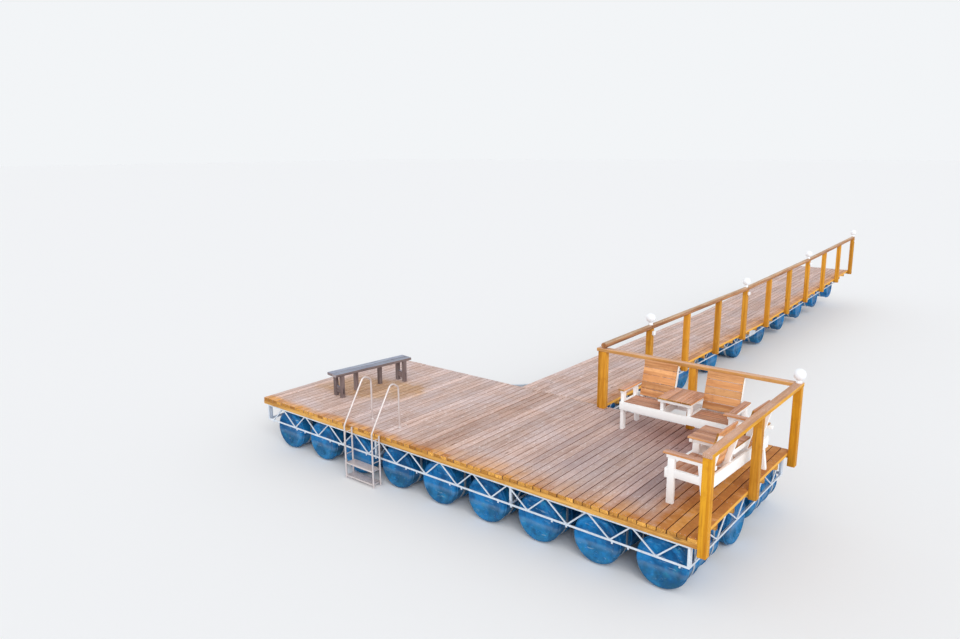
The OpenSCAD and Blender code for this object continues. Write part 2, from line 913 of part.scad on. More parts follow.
// Strips side by side along X that run along Y
module plank_strips(at, wide, long, count, gap) {
    strip = (wide - (count - 1) * gap) / count;
    for (i = [0 : count - 1])
        translate(at + [i * (strip + gap), 0, 0]) cube([strip, long, plank_t]);
}

module seat_bay(x) {
    rows = 4;
    gap = 6;
    deep = (seat_d - (rows - 1) * gap) / rows;
    for (i = [0 : rows - 1])
        translate([x, i * (deep + gap) + fit, seat_h - plank_t])
            cube([inner_x - leg_w - 2 * fit, deep - fit, plank_t]);
}

module backrest(x0) {
    rows = 5;
    gap = 4;
    above = 15;
    lean = atan2(back_lean, back_h - seat_h);
    tall = (back_h - seat_h - above) / cos(lean);
    plank_w = (tall - (rows - 1) * gap) / rows;
    translate([x0, back_y(seat_h + above) + plank_t, seat_h + above]) rotate([-lean, 0, 0])
        for (i = [0 : rows - 1])
            translate([0, -plank_t * cos(lean), i * (plank_w + gap)])
                cube([back_w, plank_t * cos(lean), plank_w]);
}

module on_back_seat() {
    translate([deck_len - back_seat_x, deck_depth - back_seat_y, 0]) children();
}

module back_seat_frame() {
    at_origin() on_back_seat() seat_frame();
}

module back_seat_planks() {
    at_origin() on_back_seat() seat_planks();
}

module on_right_seat() {
    translate([deck_len - right_seat_x, deck_depth - right_seat_y, 0])
        rotate([0, 0, -90 - right_seat_turn]) children();
}

module right_seat_frame() {
    at_origin() on_right_seat() seat_frame();
}

module right_seat_planks() {
    at_origin() on_right_seat() seat_planks();
}

platform_deck();
platform_joists();
gangway_deck();
gangway_joists();
shore_deck();
shore_joists();
front_truss();
back_truss();
left_truss();
right_truss();
cross_trusses();
gangway_left_truss();
gangway_right_truss();
shore_left_truss();
shore_right_truss();
platform_bearers();
gangway_bearers();
shore_bearers();
corner_braces();
joint_plates();
front_floats();
back_floats();
middle_floats();
gangway_floats();
shore_floats();
platform_straps();
gangway_straps();
shore_straps();
right_posts();
back_posts();
right_rail();
back_rail();
gangway_posts();
shore_posts();
log_rails();
lamp_holders();
lamp_globes();
junction_boxes();
ladder_sides();
ladder_treads();
bench_top();
bench_legs();
back_seat_frame();
back_seat_planks();
right_seat_frame();
right_seat_planks();
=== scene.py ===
"""Looks of the floating wooden jetty: boards, timber, drums, fittings and finishes."""

from __future__ import annotations

import json
import logging
import random
from collections.abc import Callable, Iterator, Sequence
from contextlib import contextmanager
from dataclasses import dataclass
from enum import Enum
from functools import cache, cached_property, reduce
from math import atan2, ceil, cos, degrees, hypot, radians, sin, tan

import bpy
from mathutils import Matrix, Vector, noise

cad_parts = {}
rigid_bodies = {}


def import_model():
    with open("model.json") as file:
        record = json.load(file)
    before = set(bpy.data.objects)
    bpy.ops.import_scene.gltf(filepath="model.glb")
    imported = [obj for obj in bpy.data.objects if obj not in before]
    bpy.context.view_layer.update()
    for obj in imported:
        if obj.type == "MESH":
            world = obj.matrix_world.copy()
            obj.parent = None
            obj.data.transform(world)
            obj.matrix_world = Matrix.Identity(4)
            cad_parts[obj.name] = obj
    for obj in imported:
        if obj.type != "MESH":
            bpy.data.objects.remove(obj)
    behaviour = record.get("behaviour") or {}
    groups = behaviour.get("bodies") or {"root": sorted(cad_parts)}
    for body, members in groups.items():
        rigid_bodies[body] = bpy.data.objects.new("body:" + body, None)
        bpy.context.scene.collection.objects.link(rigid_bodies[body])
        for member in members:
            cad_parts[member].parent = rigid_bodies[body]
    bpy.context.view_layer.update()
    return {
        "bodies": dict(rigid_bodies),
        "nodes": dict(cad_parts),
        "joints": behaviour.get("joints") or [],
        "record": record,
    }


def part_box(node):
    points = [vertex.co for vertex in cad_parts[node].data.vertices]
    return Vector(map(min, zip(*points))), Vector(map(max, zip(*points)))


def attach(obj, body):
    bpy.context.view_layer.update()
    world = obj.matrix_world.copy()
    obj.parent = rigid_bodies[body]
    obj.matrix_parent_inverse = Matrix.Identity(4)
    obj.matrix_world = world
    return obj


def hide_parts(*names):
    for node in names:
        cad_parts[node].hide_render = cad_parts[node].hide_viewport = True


LOG = logging.getLogger("jetty")

Pair = tuple[float, float]
Profile = Sequence[Pair]
Point = tuple[float, float, float]
Colour = tuple[float, float, float]
Piece = bpy.types.Object
Material = bpy.types.Material


# Sizes and places


@dataclass(frozen=True)
class JettySizes:
    """Sizes in metres, in construction coordinates, as the part's source has them.

    The construction coordinates start at the front left corner of the platform's
    deck top, with X along its front edge, Y to the shore and Z up.
    """

    deck_len: float = 7.2
    deck_depth: float = 2.94
    board_t: float = 0.032
    joist_h: float = 0.07
    joist_w: float = 0.05
    joist_pitch: float = 0.49
    gang_w: float = 1.52
    gang_x: float = 2.915
    bay: float = 1.44
    bays: int = 5
    ramp_turn: float = 2.1  # degrees
    joint_gap: float = 0.01
    chord: float = 0.035
    truss_h: float = 0.254
    inset_side: float = 0.07
    inset_front: float = 0.015
    ring_d: float = 0.595
    ring_h: float = 0.011
    drum_len: float = 0.9
    drum_gap: float = 0.005
    drum_left: float = 0.55
    drum_right: float = 0.405
    drum_count: int = 9
    post_w: float = 0.095
    post_slack: float = 0.005
    rail_top: float = 0.93
    rail_t: float = 0.048
    rail_w: float = 0.105
    post_drop: float = 0.185
    log_d: float = 0.09
    log_seat: float = 0.02
    back_rail_in: float = 0.075
    rail_over: float = 0.012
    globe_d: float = 0.155
    holder_d: float = 0.078
    holder_h: float = 0.042
    jbox: float = 0.066
    lamp_step: int = 3
    plate_t: float = 0.008
    fit: float = 0.0003

    # Worked out from the sizes above
    joist_z: float = -board_t - joist_h
    gang_right: float = gang_x + gang_w
    gang_len: float = bay * bays
    ramp_y: float = deck_depth + gang_len
    drum_z: float = joist_z - chord - fit - ring_d / 2
    floor_z: float = drum_z - ring_d / 2
    drum_pitch: float = (deck_len - drum_left - drum_right) / (drum_count - 1)
    back_post_y: float = deck_depth - back_rail_in
    right_post_x: float = deck_len + post_w / 2
    gang_post_x: float = gang_right + post_w / 2
    post_in: float = post_w / 2 + post_slack
    rail_low: float = rail_top - rail_t
    log_z: float = rail_top + fit + log_d / 2
    lamp_stations: Sequence[int] = range(1, 2 * bays + 1, lamp_step)

    @property
    def drum_axes(self) -> list[float]:
        """X of the drums in the front and back rows."""
        return [self.drum_left + i * self.drum_pitch for i in range(self.drum_count)]

    @property
    def stations(self) -> list[Pair]:
        """Stations along the log rail: at the back rail, then at every gangway post.

        Returns:
            Y and Z of each.
        """
        numbers, z = range(1, self.bays + 1), self.log_z
        level_part = [(self.deck_depth - self.post_in + i * self.bay, z) for i in numbers]
        cosine, sine = cos(radians(self.ramp_turn)), sin(radians(self.ramp_turn))
        along = [i * self.bay - self.post_in for i in numbers]
        ramp_part = [(self.ramp_y + y * cosine - z * sine, y * sine + z * cosine) for y in along]
        return [(self.back_post_y, z), *level_part, *ramp_part]

    def log_height(self, i: int) -> float:
        """Height of the log's axis at a station. One log runs straight across the joint.

        Args:
            i: Number of the station.

        Returns:
            The height.
        """
        ends = [0, *self.lamp_stations]
        low = max(k for k in ends if k <= self.bays)
        high = min(k for k in ends if k > self.bays)
        if not low < i < high:
            return self.stations[i][1]
        (y0, z0), (y1, z1) = self.stations[low], self.stations[high]
        return z0 + (z1 - z0) * (self.stations[i][0] - y0) / (y1 - y0)


SIZES = JettySizes()


@cache
def origin() -> Vector:
    """Where construction coordinates start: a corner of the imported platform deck."""
    low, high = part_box("platform_deck")
    return Vector((low[0], low[1], high[2]))


def shift(*by: float) -> Matrix:
    """Matrix that moves by X, Y and Z."""
    return Matrix.Translation(by)


def spin(angle: float, axis: str) -> Matrix:
    """Matrix that turns by an angle in degrees about an axis."""
    return Matrix.Rotation(radians(angle), 4, axis)


def level() -> Matrix:
    """Matrix from construction coordinates to the frame."""
    return Matrix.Translation(origin())


def ramp() -> Matrix:
    """Matrix from the shore length's own coordinates to the frame."""
    return level() @ shift(0.0, SIZES.ramp_y, 0.0) @ spin(SIZES.ramp_turn, "X")


# Shader maths


def operator(operation: str, swapped: bool = False) -> Callable[[Value, object], Value]:
    """Makes one of Value's operators, which adds a Math node.

    Args:
        operation: The Math node's operation.
        swapped: Whether the other term comes first.

    Returns:
        The operator's method.
    """

    def method(value: Value, other: object) -> Value:
        """The Math node's result."""
        terms = (other, value) if swapped else (value, other)
        return value.calc(operation, *terms)

    return method


class Value:
    """A node's output. Python's operators add Math nodes."""

    def __init__(self, tree: Tree, socket: bpy.types.NodeSocket) -> None:
        """Wraps an output socket of a tree's node."""
        self.tree = tree
        self.socket = socket

    def calc(self, operation: str, *terms: object) -> Value:
        """Adds a Math node for some terms and returns its result."""
        return self.tree.value("ShaderNodeMath", dict(enumerate(terms)), operation=operation)

    __add__ = __radd__ = operator("ADD")
    __sub__ = operator("SUBTRACT")
    __rsub__ = operator("SUBTRACT", swapped=True)
    __mul__ = __rmul__ = operator("MULTIPLY")
    __gt__ = operator("GREATER_THAN")
    __lt__ = operator("LESS_THAN")

    def fraction(self) -> Value:
        """The part after the decimal point."""
        return self.calc("FRACT", self)

    def greatest(self, *others: Value) -> Value:
        """The largest of this and other values."""
        return reduce(lambda a, b: a.calc("MAXIMUM", a, b), others, self)

    def around(self, middle: float, reach: float) -> Value:
        """1 at a middle value, falling to 0 at a reach on either side."""
        return self.calc("ABSOLUTE", self - middle).rise(reach, 0.0)

    def rise(self, low: float, high: float) -> Value:
        """A smooth step from 0 at low to 1 at high, or down where high is lower."""
        ends = {"Value": self, "From Min": low, "From Max": high}
        return self.tree.value("ShaderNodeMapRange", ends, interpolation_type="SMOOTHSTEP")


class Tree:
    """A node tree, written as expressions."""

    def __init__(self, tree: bpy.types.NodeTree) -> None:
        """Takes the tree that the nodes go into."""
        self.tree = tree

    def node(
        self, kind: str, inputs: dict[str | int, object] | None = None, **settings: object
    ) -> bpy.types.Node:
        """Adds a node.

        Args:
            kind: The node's type.
            inputs: Values or links of its sockets, by name or number.
            settings: Its settings, which are set first.

        Returns:
            The new node.
        """
        made = self.tree.nodes.new(kind)
        for key, setting in settings.items():
            setattr(made, key, setting)
        for key, term in (inputs or {}).items():
            self.feed(made.inputs[key], term)
        return made

    def value(
        self,
        kind: str,
        inputs: dict[str | int, object] | None = None,
        output: int | str = 0,
        **settings: object,
    ) -> Value:
        """Adds a node, as node() does, and takes one of its outputs."""
        return Value(self, self.node(kind, inputs, **settings).outputs[output])

    def feed(self, socket: bpy.types.NodeSocket, term: object) -> None:
        """Links or sets an input socket.

        Args:
            socket: The socket.
            term: A Value or an output to link, or a number, vector or colour.
        """
        if isinstance(term, Value):
            term = term.socket
        if isinstance(term, bpy.types.NodeSocket):
            self.tree.links.new(term, socket)
        elif isinstance(term, tuple) and len(socket.default_value) == 4:
            socket.default_value = (*term, 1.0)
        else:
            socket.default_value = term

    def axis(self, vector: Value, letter: str) -> Value:
        """One coordinate of a vector."""
        return self.value("ShaderNodeSeparateXYZ", {0: vector}, letter)


class Sheet(Tree):
    """A material's node tree, with the patterns that the finishes use."""

    def __init__(self, name: str) -> None:
        """Makes a material.

        Args:
            name: Its name.
        """
        self.material = bpy.data.materials.new(name)
        self.material.use_nodes = True
        super().__init__(self.material.node_tree)

    @cached_property
    def place(self) -> Value:
        """Object coordinates."""
        return self.value("ShaderNodeTexCoord", output="Object")

    @cached_property
    def grain(self) -> Value:
        """Coordinates along, across and through each piece of timber."""
        return self.value("ShaderNodeAttribute", output="Vector", attribute_name="grain")

    @cached_property
    def tone(self) -> Value:
        """A number between 0 and 1 that is the same all over one piece of timber."""
        return self.value("ShaderNodeAttribute", output="Fac", attribute_name="tone")

    @cached_property
    def upward(self) -> Value:
        """Height of the surface's normal: 1 on level tops, 0 on upright faces."""
        return self.axis(self.value("ShaderNodeNewGeometry", output="Normal"), "Z")

    def pick(self, stir: float) -> Value:
        """Another number for each piece of timber, which depends on a stirring factor."""
        return (self.tone * stir).fraction()

    def stretch(self, vector: Value, by: Point) -> Value:
        """Multiplies coordinates along each axis."""
        return self.value("ShaderNodeVectorMath", {0: vector, 1: by}, operation="MULTIPLY")

    def noise(self, vector: Value, scale: float, detail: float = 2.0, rough: float = 0.5) -> Value:
        """A noise texture's value, about 0.5 on average."""
        inputs = {"Vector": vector, "Scale": scale, "Detail": detail, "Roughness": rough}
        return self.value("ShaderNodeTexNoise", inputs)

    def streaks(
        self,
        along: float,
        across: float,
        detail: float = 2.0,
        rough: float = 0.5,
        scale: float = 1.0,
    ) -> Value:
        """Noise along the grain, with its frequencies along and across it."""
        return self.noise(self.stretch(self.grain, (along, across, across)), scale, detail, rough)

    def cells(self, vector: Value, scale: float) -> tuple[Value, Value]:
        """Adds a texture of cells.

        Args:
            vector: Coordinates.
            scale: How many cells there are in a unit of them.

        Returns:
            Distance from the nearest cell's point, and a number picked for that cell.
        """
        made = self.node("ShaderNodeTexVoronoi", {"Vector": vector, "Scale": scale})
        picked = self.value("ShaderNodeSeparateColor", {0: made.outputs["Color"]})
        return Value(self, made.outputs["Distance"]), picked

    def mix(self, factor: object, a: object, b: object, way: str = "MIX") -> Value:
        """Mixes two colours.

        Args:
            factor: Share of the second colour.
            a: First colour.
            b: Second colour.
            way: Blend type of the Mix node.

        Returns:
            The mixed colour.
        """
        settings = {"data_type": "RGBA", "blend_type": way, "clamp_factor": True}
        return self.value("ShaderNodeMix", {0: factor, 6: a, 7: b}, 2, **settings)

    def tint(self, colour: Value, by: object, share: object = 1.0) -> Value:
        """Multiplies a colour by another one, in full or in part."""
        return self.mix(share, colour, by, "MULTIPLY")

    def dress(
        self,
        colour: object,
        roughness: object,
        metallic: float = 0.0,
        height: Value | None = None,
        depth: float = 0.001,
        specular: float = 0.5,
    ) -> Material:
        """Feeds the shader.

        Args:
            colour: Base colour.
            roughness: Roughness.
            metallic: Share of metal.
            height: Relief, as a value of about 0 to 1.
            depth: Depth of that relief, in metres.
            specular: Strength of the clear reflection.

        Returns:
            The finished material.
        """
        shader = self.tree.nodes["Principled BSDF"].inputs
        self.feed(shader["Base Color"], colour)
        self.feed(shader["Roughness"], roughness)
        self.feed(shader["Metallic"], metallic)
        self.feed(shader["Specular IOR Level"], specular)
        if height is not None:
            relief = {"Strength": 0.7, "Distance": depth, "Height": height}
            self.feed(shader["Normal"], self.value("ShaderNodeBump", relief))
        return self.material


# Finishes


DULL = 0.18  # weak clear reflection of dry timber and scuffed plastic


@dataclass(frozen=True)
class Wood:
    """A timber finish: fibres, streaks, knots, checks, and upper faces that have weathered."""

    name: str
    pale: Colour
    dark: Colour
    warm: Colour
    top_pale: Colour
    top_dark: Colour
    grey: Colour
    greying: float = 0.3
    warming: float = 0.5
    variety: float = 0.2
    flecks: float = 0.3
    knots: float = 0.5
    gloss: float = 0.62
    relief: float = 0.0012
    fine: float = 1.0
    fleck: Colour = (0.92, 0.82, 0.8)
    knot: Colour = (0.16, 0.075, 0.03)
    check: Colour = (0.1, 0.055, 0.035)
    end_pale: Colour = (0.66, 0.36, 0.08)
    end_dark: Colour = (0.28, 0.12, 0.02)
    end_dim: Colour = (0.48, 0.38, 0.34)
    end_bright: Colour = (1.2, 1.2, 1.2)

    def body(self, sheet: Sheet) -> tuple[Value, Value]:
        """Writes the look of sawn timber along its grain.

        Args:
            sheet: Node tree to write in.

        Returns:
            The colour, and the relief.
        """
        streak = sheet.streaks(1.0, 24.0, 4.0, 0.6)
        fibre = sheet.streaks(8.0, 230.0, 2.0, 0.6)
        check = sheet.streaks(2.4, 95.0).rise(0.66, 0.75)
        spot, picked = sheet.cells(sheet.stretch(sheet.grain, (2.1, 8.5, 8.5)), 1.0)
        knot = spot.rise(0.15, 0.04) * (picked < self.knots)
        figure = (streak + (fibre - 0.5) * 0.35).rise(0.3, 0.68)
        warmth = sheet.pick(5.7).rise(0.35, 1.0) * self.warming
        side = sheet.mix(warmth, sheet.mix(figure, self.dark, self.pale), self.warm)
        uneven = sheet.noise(sheet.place, 4.5, 5.0, 0.7).rise(0.5, 0.68)
        side = sheet.mix(uneven * 0.55, side, self.dark)
        worn = sheet.noise(sheet.place, 1.9, 5.0, 0.62).rise(0.4, 0.66)
        worn = worn * (0.45 + fibre * 0.9) * self.greying
        top = sheet.mix(worn, sheet.mix(figure, self.top_dark, self.top_pale), self.grey)
        light = sheet.streaks(34.0, 70.0, 3.0, 0.75, self.fine).rise(0.56, 0.66)
        top = sheet.mix(light * self.flecks, top, self.fleck)
        spots = sheet.streaks(40.0, 55.0, 4.0, 0.8, self.fine).rise(0.44, 0.34)
        top = sheet.mix(spots * self.flecks, top, self.top_dark)
        colour = sheet.mix(sheet.upward.rise(0.3, 0.8), side, top)
        low, high = ((1.0 + self.variety * by,) * 3 for by in (-1.3, 0.7))
        colour = sheet.tint(colour, sheet.mix(sheet.pick(11.3), low, high))
        colour = sheet.mix(knot * 0.8, colour, self.knot)
        colour = sheet.mix(check * 0.55, colour, self.check)
        return colour, streak * 0.4 + fibre * 0.5 - check + knot * 0.3

    def make(self) -> list[Material]:
        """Builds the finish of the long faces and that of the sawn ends.

        Returns:
            Both materials.
        """
        sheet = Sheet(self.name)
        colour, height = self.body(sheet)
        rough = self.gloss + (sheet.noise(sheet.grain, 30.0) - 0.5) * 0.25
        faces = sheet.dress(colour, rough, height=height, depth=self.relief, specular=DULL)
        return [faces, self.make_end()]

    def make_end(self) -> Material:
        """Builds the finish of the sawn ends, with growth rings.

        Returns:
            The material.
        """
        sheet = Sheet(self.name + "_end")
        rings = (sheet.streaks(0.2, 9.0, 1.0) * 14.0).fraction().rise(0.2, 0.75)
        colour = sheet.mix(rings * 0.6 + 0.4, self.end_dark, self.end_pale)
        colour = sheet.tint(colour, sheet.mix(sheet.pick(9.1), self.end_dim, self.end_bright))
        stain = sheet.noise(sheet.grain, 60.0, 3.0).rise(0.4, 0.7)
        colour = sheet.mix(stain * 0.5, colour, self.end_dark)
        return sheet.dress(colour, 0.8, height=rings, depth=0.0006, specular=DULL)


@dataclass(frozen=True)
class DeckWood(Wood):
    """Deck boards: warm along the edges of the jetty, with painted shade (violet grey on the right part,
    under the seats and the bench, in the gaps between boards) and painted light that is brighter to the
    left.
    """

    edge: Colour = (0.76, 0.36, 0.085)
    burnt: Colour = (0.5, 0.2, 0.05)
    # Painted shade: violet grey over the right part of the platform.
    right_shade_tint: Colour = (0.4, 0.31, 0.33)
    dirt: Colour = (0.85, 0.77, 0.71)
    slate: Colour = (0.79, 0.77, 0.81)
    # Painted shade under the bench, yellowish in tone.
    bench_shade: Colour = (0.92, 0.77, 0.52)
    # The rust tint is painted shade under and behind the seats, warm in tone.
    rust: Colour = (0.88, 0.69, 0.64)
    face: Colour = (0.84, 0.43, 0.07)
    # Painted shade in the gaps between boards, on the board sides.
    gap_shade: Colour = (0.12, 0.04, 0.018)
    # Painted light: the deck is lighter on the left and darker on the right.
    lit_left: Colour = (1.1, 1.09, 1.1)
    shaded_right: Colour = (0.95, 0.91, 0.9)

    def body(self, sheet: Sheet) -> tuple[Value, Value]:
        """Writes the look of a deck board at its place, as Wood.body does.

        Args:
            sheet: Node tree to write in.

        Returns:
            The colour, and the relief.
        """
        colour, height = super().body(sheet)
        place, tone, upward = sheet.place, sheet.tone, sheet.upward
        x, y = sheet.axis(place, "X"), sheet.axis(place, "Y")
        left, front = origin().x, origin().y
        right, gang, shore = left + SIZES.deck_len, left + SIZES.gang_right, front + SIZES.deck_depth
        platform, gangway = y < shore, y > shore
        wander = sheet.noise(place, 1.1, 4.0, 0.65) - 0.5
        patch = sheet.noise(place, 5.0, 4.0, 0.7)

        # Painted shade: the right part of the platform is darkened to violet grey.
        right_shade = (x + wander * 2.0).rise(right - 3.6, right - 1.6)
        right_shade = right_shade * (y + wander).rise(front + 0.2, front + 0.8) * platform
        colour = sheet.mix(right_shade * (0.15 + tone * 0.4), colour, self.right_shade_tint)

        walked = (x + wander * 0.4).around(left + 3.45, 0.45)
        seated = (x + wander * 0.4).around(left + 6.15, 0.35)
        # The rear right corner, under and behind the seats, gets painted shade from the rust tint.
        back = (y + wander * 0.6).rise(front + 1.5, front + 2.4)
        back = back * (x + wander * 0.6).rise(right - 2.4, right - 1.4)
        # Around and under the bench: painted shade.
        bench = (x + wander * 1.6).around(left + 1.0, 1.1)
        bench = (bench * (y + wander * 1.2).around(front + 1.4, 0.75)).rise(0.02, 0.6)
        # The dirt and slate tints are stains; the rust tint and the tint under the bench are painted
        # shade.
        stains_and_shade = (walked, self.dirt), (seated, self.slate), (back, self.rust), (bench, self.bench_shade)
        for area, stain in stains_and_shade:
            colour = sheet.tint(colour, stain, area * platform * (patch + 0.4))

        ends = (x + wander).rise(left + 2.2, left + 4.2) * 0.6
        near = (y + wander * 0.5).rise(front + 0.5, front + 0.12) * ends
        rim = (y + wander * 0.35).rise(front + 0.2, front + 0.03) * 1.1
        side = (x + wander * 0.5).rise(right - 0.8, right - 0.3) * 1.6
        walk = (x + wander * 0.5).rise(gang - 0.42, gang + 0.02) * gangway
        warm = near.greatest(rim, side, walk) * (patch * 1.3 + tone * 0.25)
        worn = (patch + sheet.pick(7.9) * 0.4).rise(0.5, 0.9)
        warm_colour = sheet.mix(worn, self.edge, self.burnt)
        colour = sheet.mix(warm * upward.rise(0.5, 0.9), colour, warm_colour)

        # Painted light: lighter towards the left of the deck, darker towards the right.
        light_fall = sheet.mix(x.rise(left, right - 1.5), self.lit_left, self.shaded_right)
        colour = sheet.tint(colour, light_fall)
        # Painted shade in the gaps: the board sides on the right part of the deck are darkened.
        gap_shade = upward.rise(0.9, 0.5) * (x + wander).rise(right - 3.4, right - 1.4)
        colour = sheet.mix(gap_shade, colour, self.gap_shade)
        skin = 0.006
        outer = (x > right - skin).greatest(x < left + skin, (x > gang - skin) * gangway)
        return sheet.mix(outer * upward.rise(0.6, 0.2), colour, self.face), height


@dataclass(frozen=True)
class WhitePaint:
    """White paint on timber: brush marks and worn streaks along the grain."""

    name: str = "white_paint"
    colour: Colour = (0.98, 0.99, 1.0)
    soiled: Colour = (0.78, 0.77, 0.76)
    timber: Colour = (0.55, 0.45, 0.36)

    def make(self) -> list[Material]:
        """Builds the finish.

        Returns:
            Its only material, in a list.
        """
        sheet = Sheet(self.name)
        brush = sheet.streaks(6.0, 160.0, 3.0)
        soil = sheet.noise(sheet.place, 9.0, 5.0, 0.7).rise(0.5, 0.78)
        bare = sheet.streaks(4.0, 60.0, 4.0).rise(0.7, 0.76)
        colour = sheet.mix(soil * 0.16, self.colour, self.soiled)
        colour = sheet.mix(bare * 0.35, colour, self.timber)
        return [sheet.dress(colour, 0.42 + soil * 0.2, height=brush - bare, depth=0.0006)]


@dataclass(frozen=True)
class Galvanized:
    """Hot-dip galvanized steel: crystal pattern, dull runs and some spots of rust."""

    name: str = "galvanized"
    colour: Colour = (0.76, 0.82, 0.9)
    dull: Colour = (0.56, 0.62, 0.7)
    rust: Colour = (0.3, 0.16, 0.09)

    def make(self) -> list[Material]:
        """Builds the finish.

        Returns:
            Its only material, in a list.
        """
        sheet = Sheet(self.name)
        _, crystal = sheet.cells(sheet.place, 55.0)
        runs = sheet.noise(sheet.stretch(sheet.place, (5.0, 5.0, 1.2)), 2.0, 4.0, 0.6)
        rust = sheet.noise(sheet.place, 7.0, 6.0, 0.7).rise(0.66, 0.76)
        colour = sheet.mix(crystal * 0.35 + runs.rise(0.35, 0.7) * 0.5, self.colour, self.dull)
        colour = sheet.mix(rust * 0.45, colour, self.rust)
        rough = 0.42 + crystal * 0.14 + rust * 0.25
        return [sheet.dress(colour, rough, 0.3, crystal * 0.3 + runs, 0.0004)]


@dataclass(frozen=True)
class DrumPlastic:
    """Blue moulded plastic, scuffed, with a film of algae below the water line."""

    name: str = "drum_blue"
    colour: Colour = (0.004, 0.085, 0.24)
    faded: Colour = (0.012, 0.2, 0.5)
    teal: Colour = (0.02, 0.26, 0.36)
    scuffed: Colour = (0.36, 0.5, 0.62)
    algae: Colour = (0.03, 0.1, 0.1)
    tide_mark: Colour = (0.26, 0.34, 0.34)
    water_line: float = 0.24

    def make(self) -> list[Material]:
        """Builds the finish.

        Returns:
            Its only material, in a list.
        """
        sheet = Sheet(self.name)
        place, water = sheet.place, self.water_line
        cloud = sheet.noise(place, 2.6, 5.0, 0.6)
        scuff = sheet.noise(sheet.stretch(place, (9.0, 9.0, 40.0)), 1.0, 4.0, 0.7)
        patch = sheet.noise(place, 9.0, 4.0, 0.65)
        colour = sheet.mix((cloud * 0.6 + patch * 0.4).rise(0.4, 0.6), self.colour, self.faded)
        colour = sheet.mix(patch.rise(0.56, 0.7) * 0.35, colour, self.teal)
        colour = sheet.mix(scuff.rise(0.58, 0.72) * 0.5, colour, self.scuffed)
        height = sheet.axis(place, "Z") + (cloud - 0.5) * 0.05
        film = height.rise(water + 0.02, water - 0.06)
        film = film * sheet.noise(place, 14.0, 5.0, 0.7).rise(0.3, 0.62)
        line = height.rise(water + 0.035, water) * height.rise(water - 0.06, water)
        colour = sheet.mix(film * 0.4, colour, self.algae)
        colour = sheet.mix(line * 0.2, colour, self.tide_mark)
        rough = 0.3 + scuff * 0.2 + film * 0.25
        return [sheet.dress(colour, rough, height=scuff + cloud, depth=0.0006, specular=DULL)]


@dataclass(frozen=True)
class Steel:
    """Plain, brushed or zinc-plated steel for fittings."""

    name: str
    colour: Colour
    metal: float = 0.8
    gloss: float = 0.3
    brushed: Point = (60.0, 60.0, 8.0)
    stained: float = 0.72

    def make(self) -> list[Material]:
        """Builds the finish.

        Returns:
            Its only material, in a list.
        """
        sheet = Sheet(self.name)
        brush = sheet.noise(sheet.stretch(sheet.place, self.brushed), 4.0, 3.0, 0.6)
        stain = sheet.noise(sheet.place, 6.0, 5.0, 0.65).rise(0.5, 0.74)
        low = tuple(self.stained * c for c in self.colour)
        colour = sheet.mix(stain * 0.5, self.colour, low)
        rough = self.gloss + brush * 0.12 + stain * 0.1
        return [sheet.dress(colour, rough, self.metal, brush, 0.0002)]


@dataclass(frozen=True)
class WhitePlastic:
    """White moulded plastic with a little dust."""

    name: str = "white_plastic"
    colour: Colour = (0.92, 0.94, 0.98)
    dusty: Colour = (0.7, 0.71, 0.7)

    def make(self) -> list[Material]:
        """Builds the finish.

        Returns:
            Its only material, in a list.
        """
        sheet = Sheet(self.name)
        dust = sheet.noise(sheet.place, 22.0, 5.0, 0.7).rise(0.48, 0.75)
        colour = sheet.mix(dust * 0.18, self.colour, self.dusty)
        return [sheet.dress(colour, 0.28 + dust * 0.2, height=dust, depth=0.0002)]


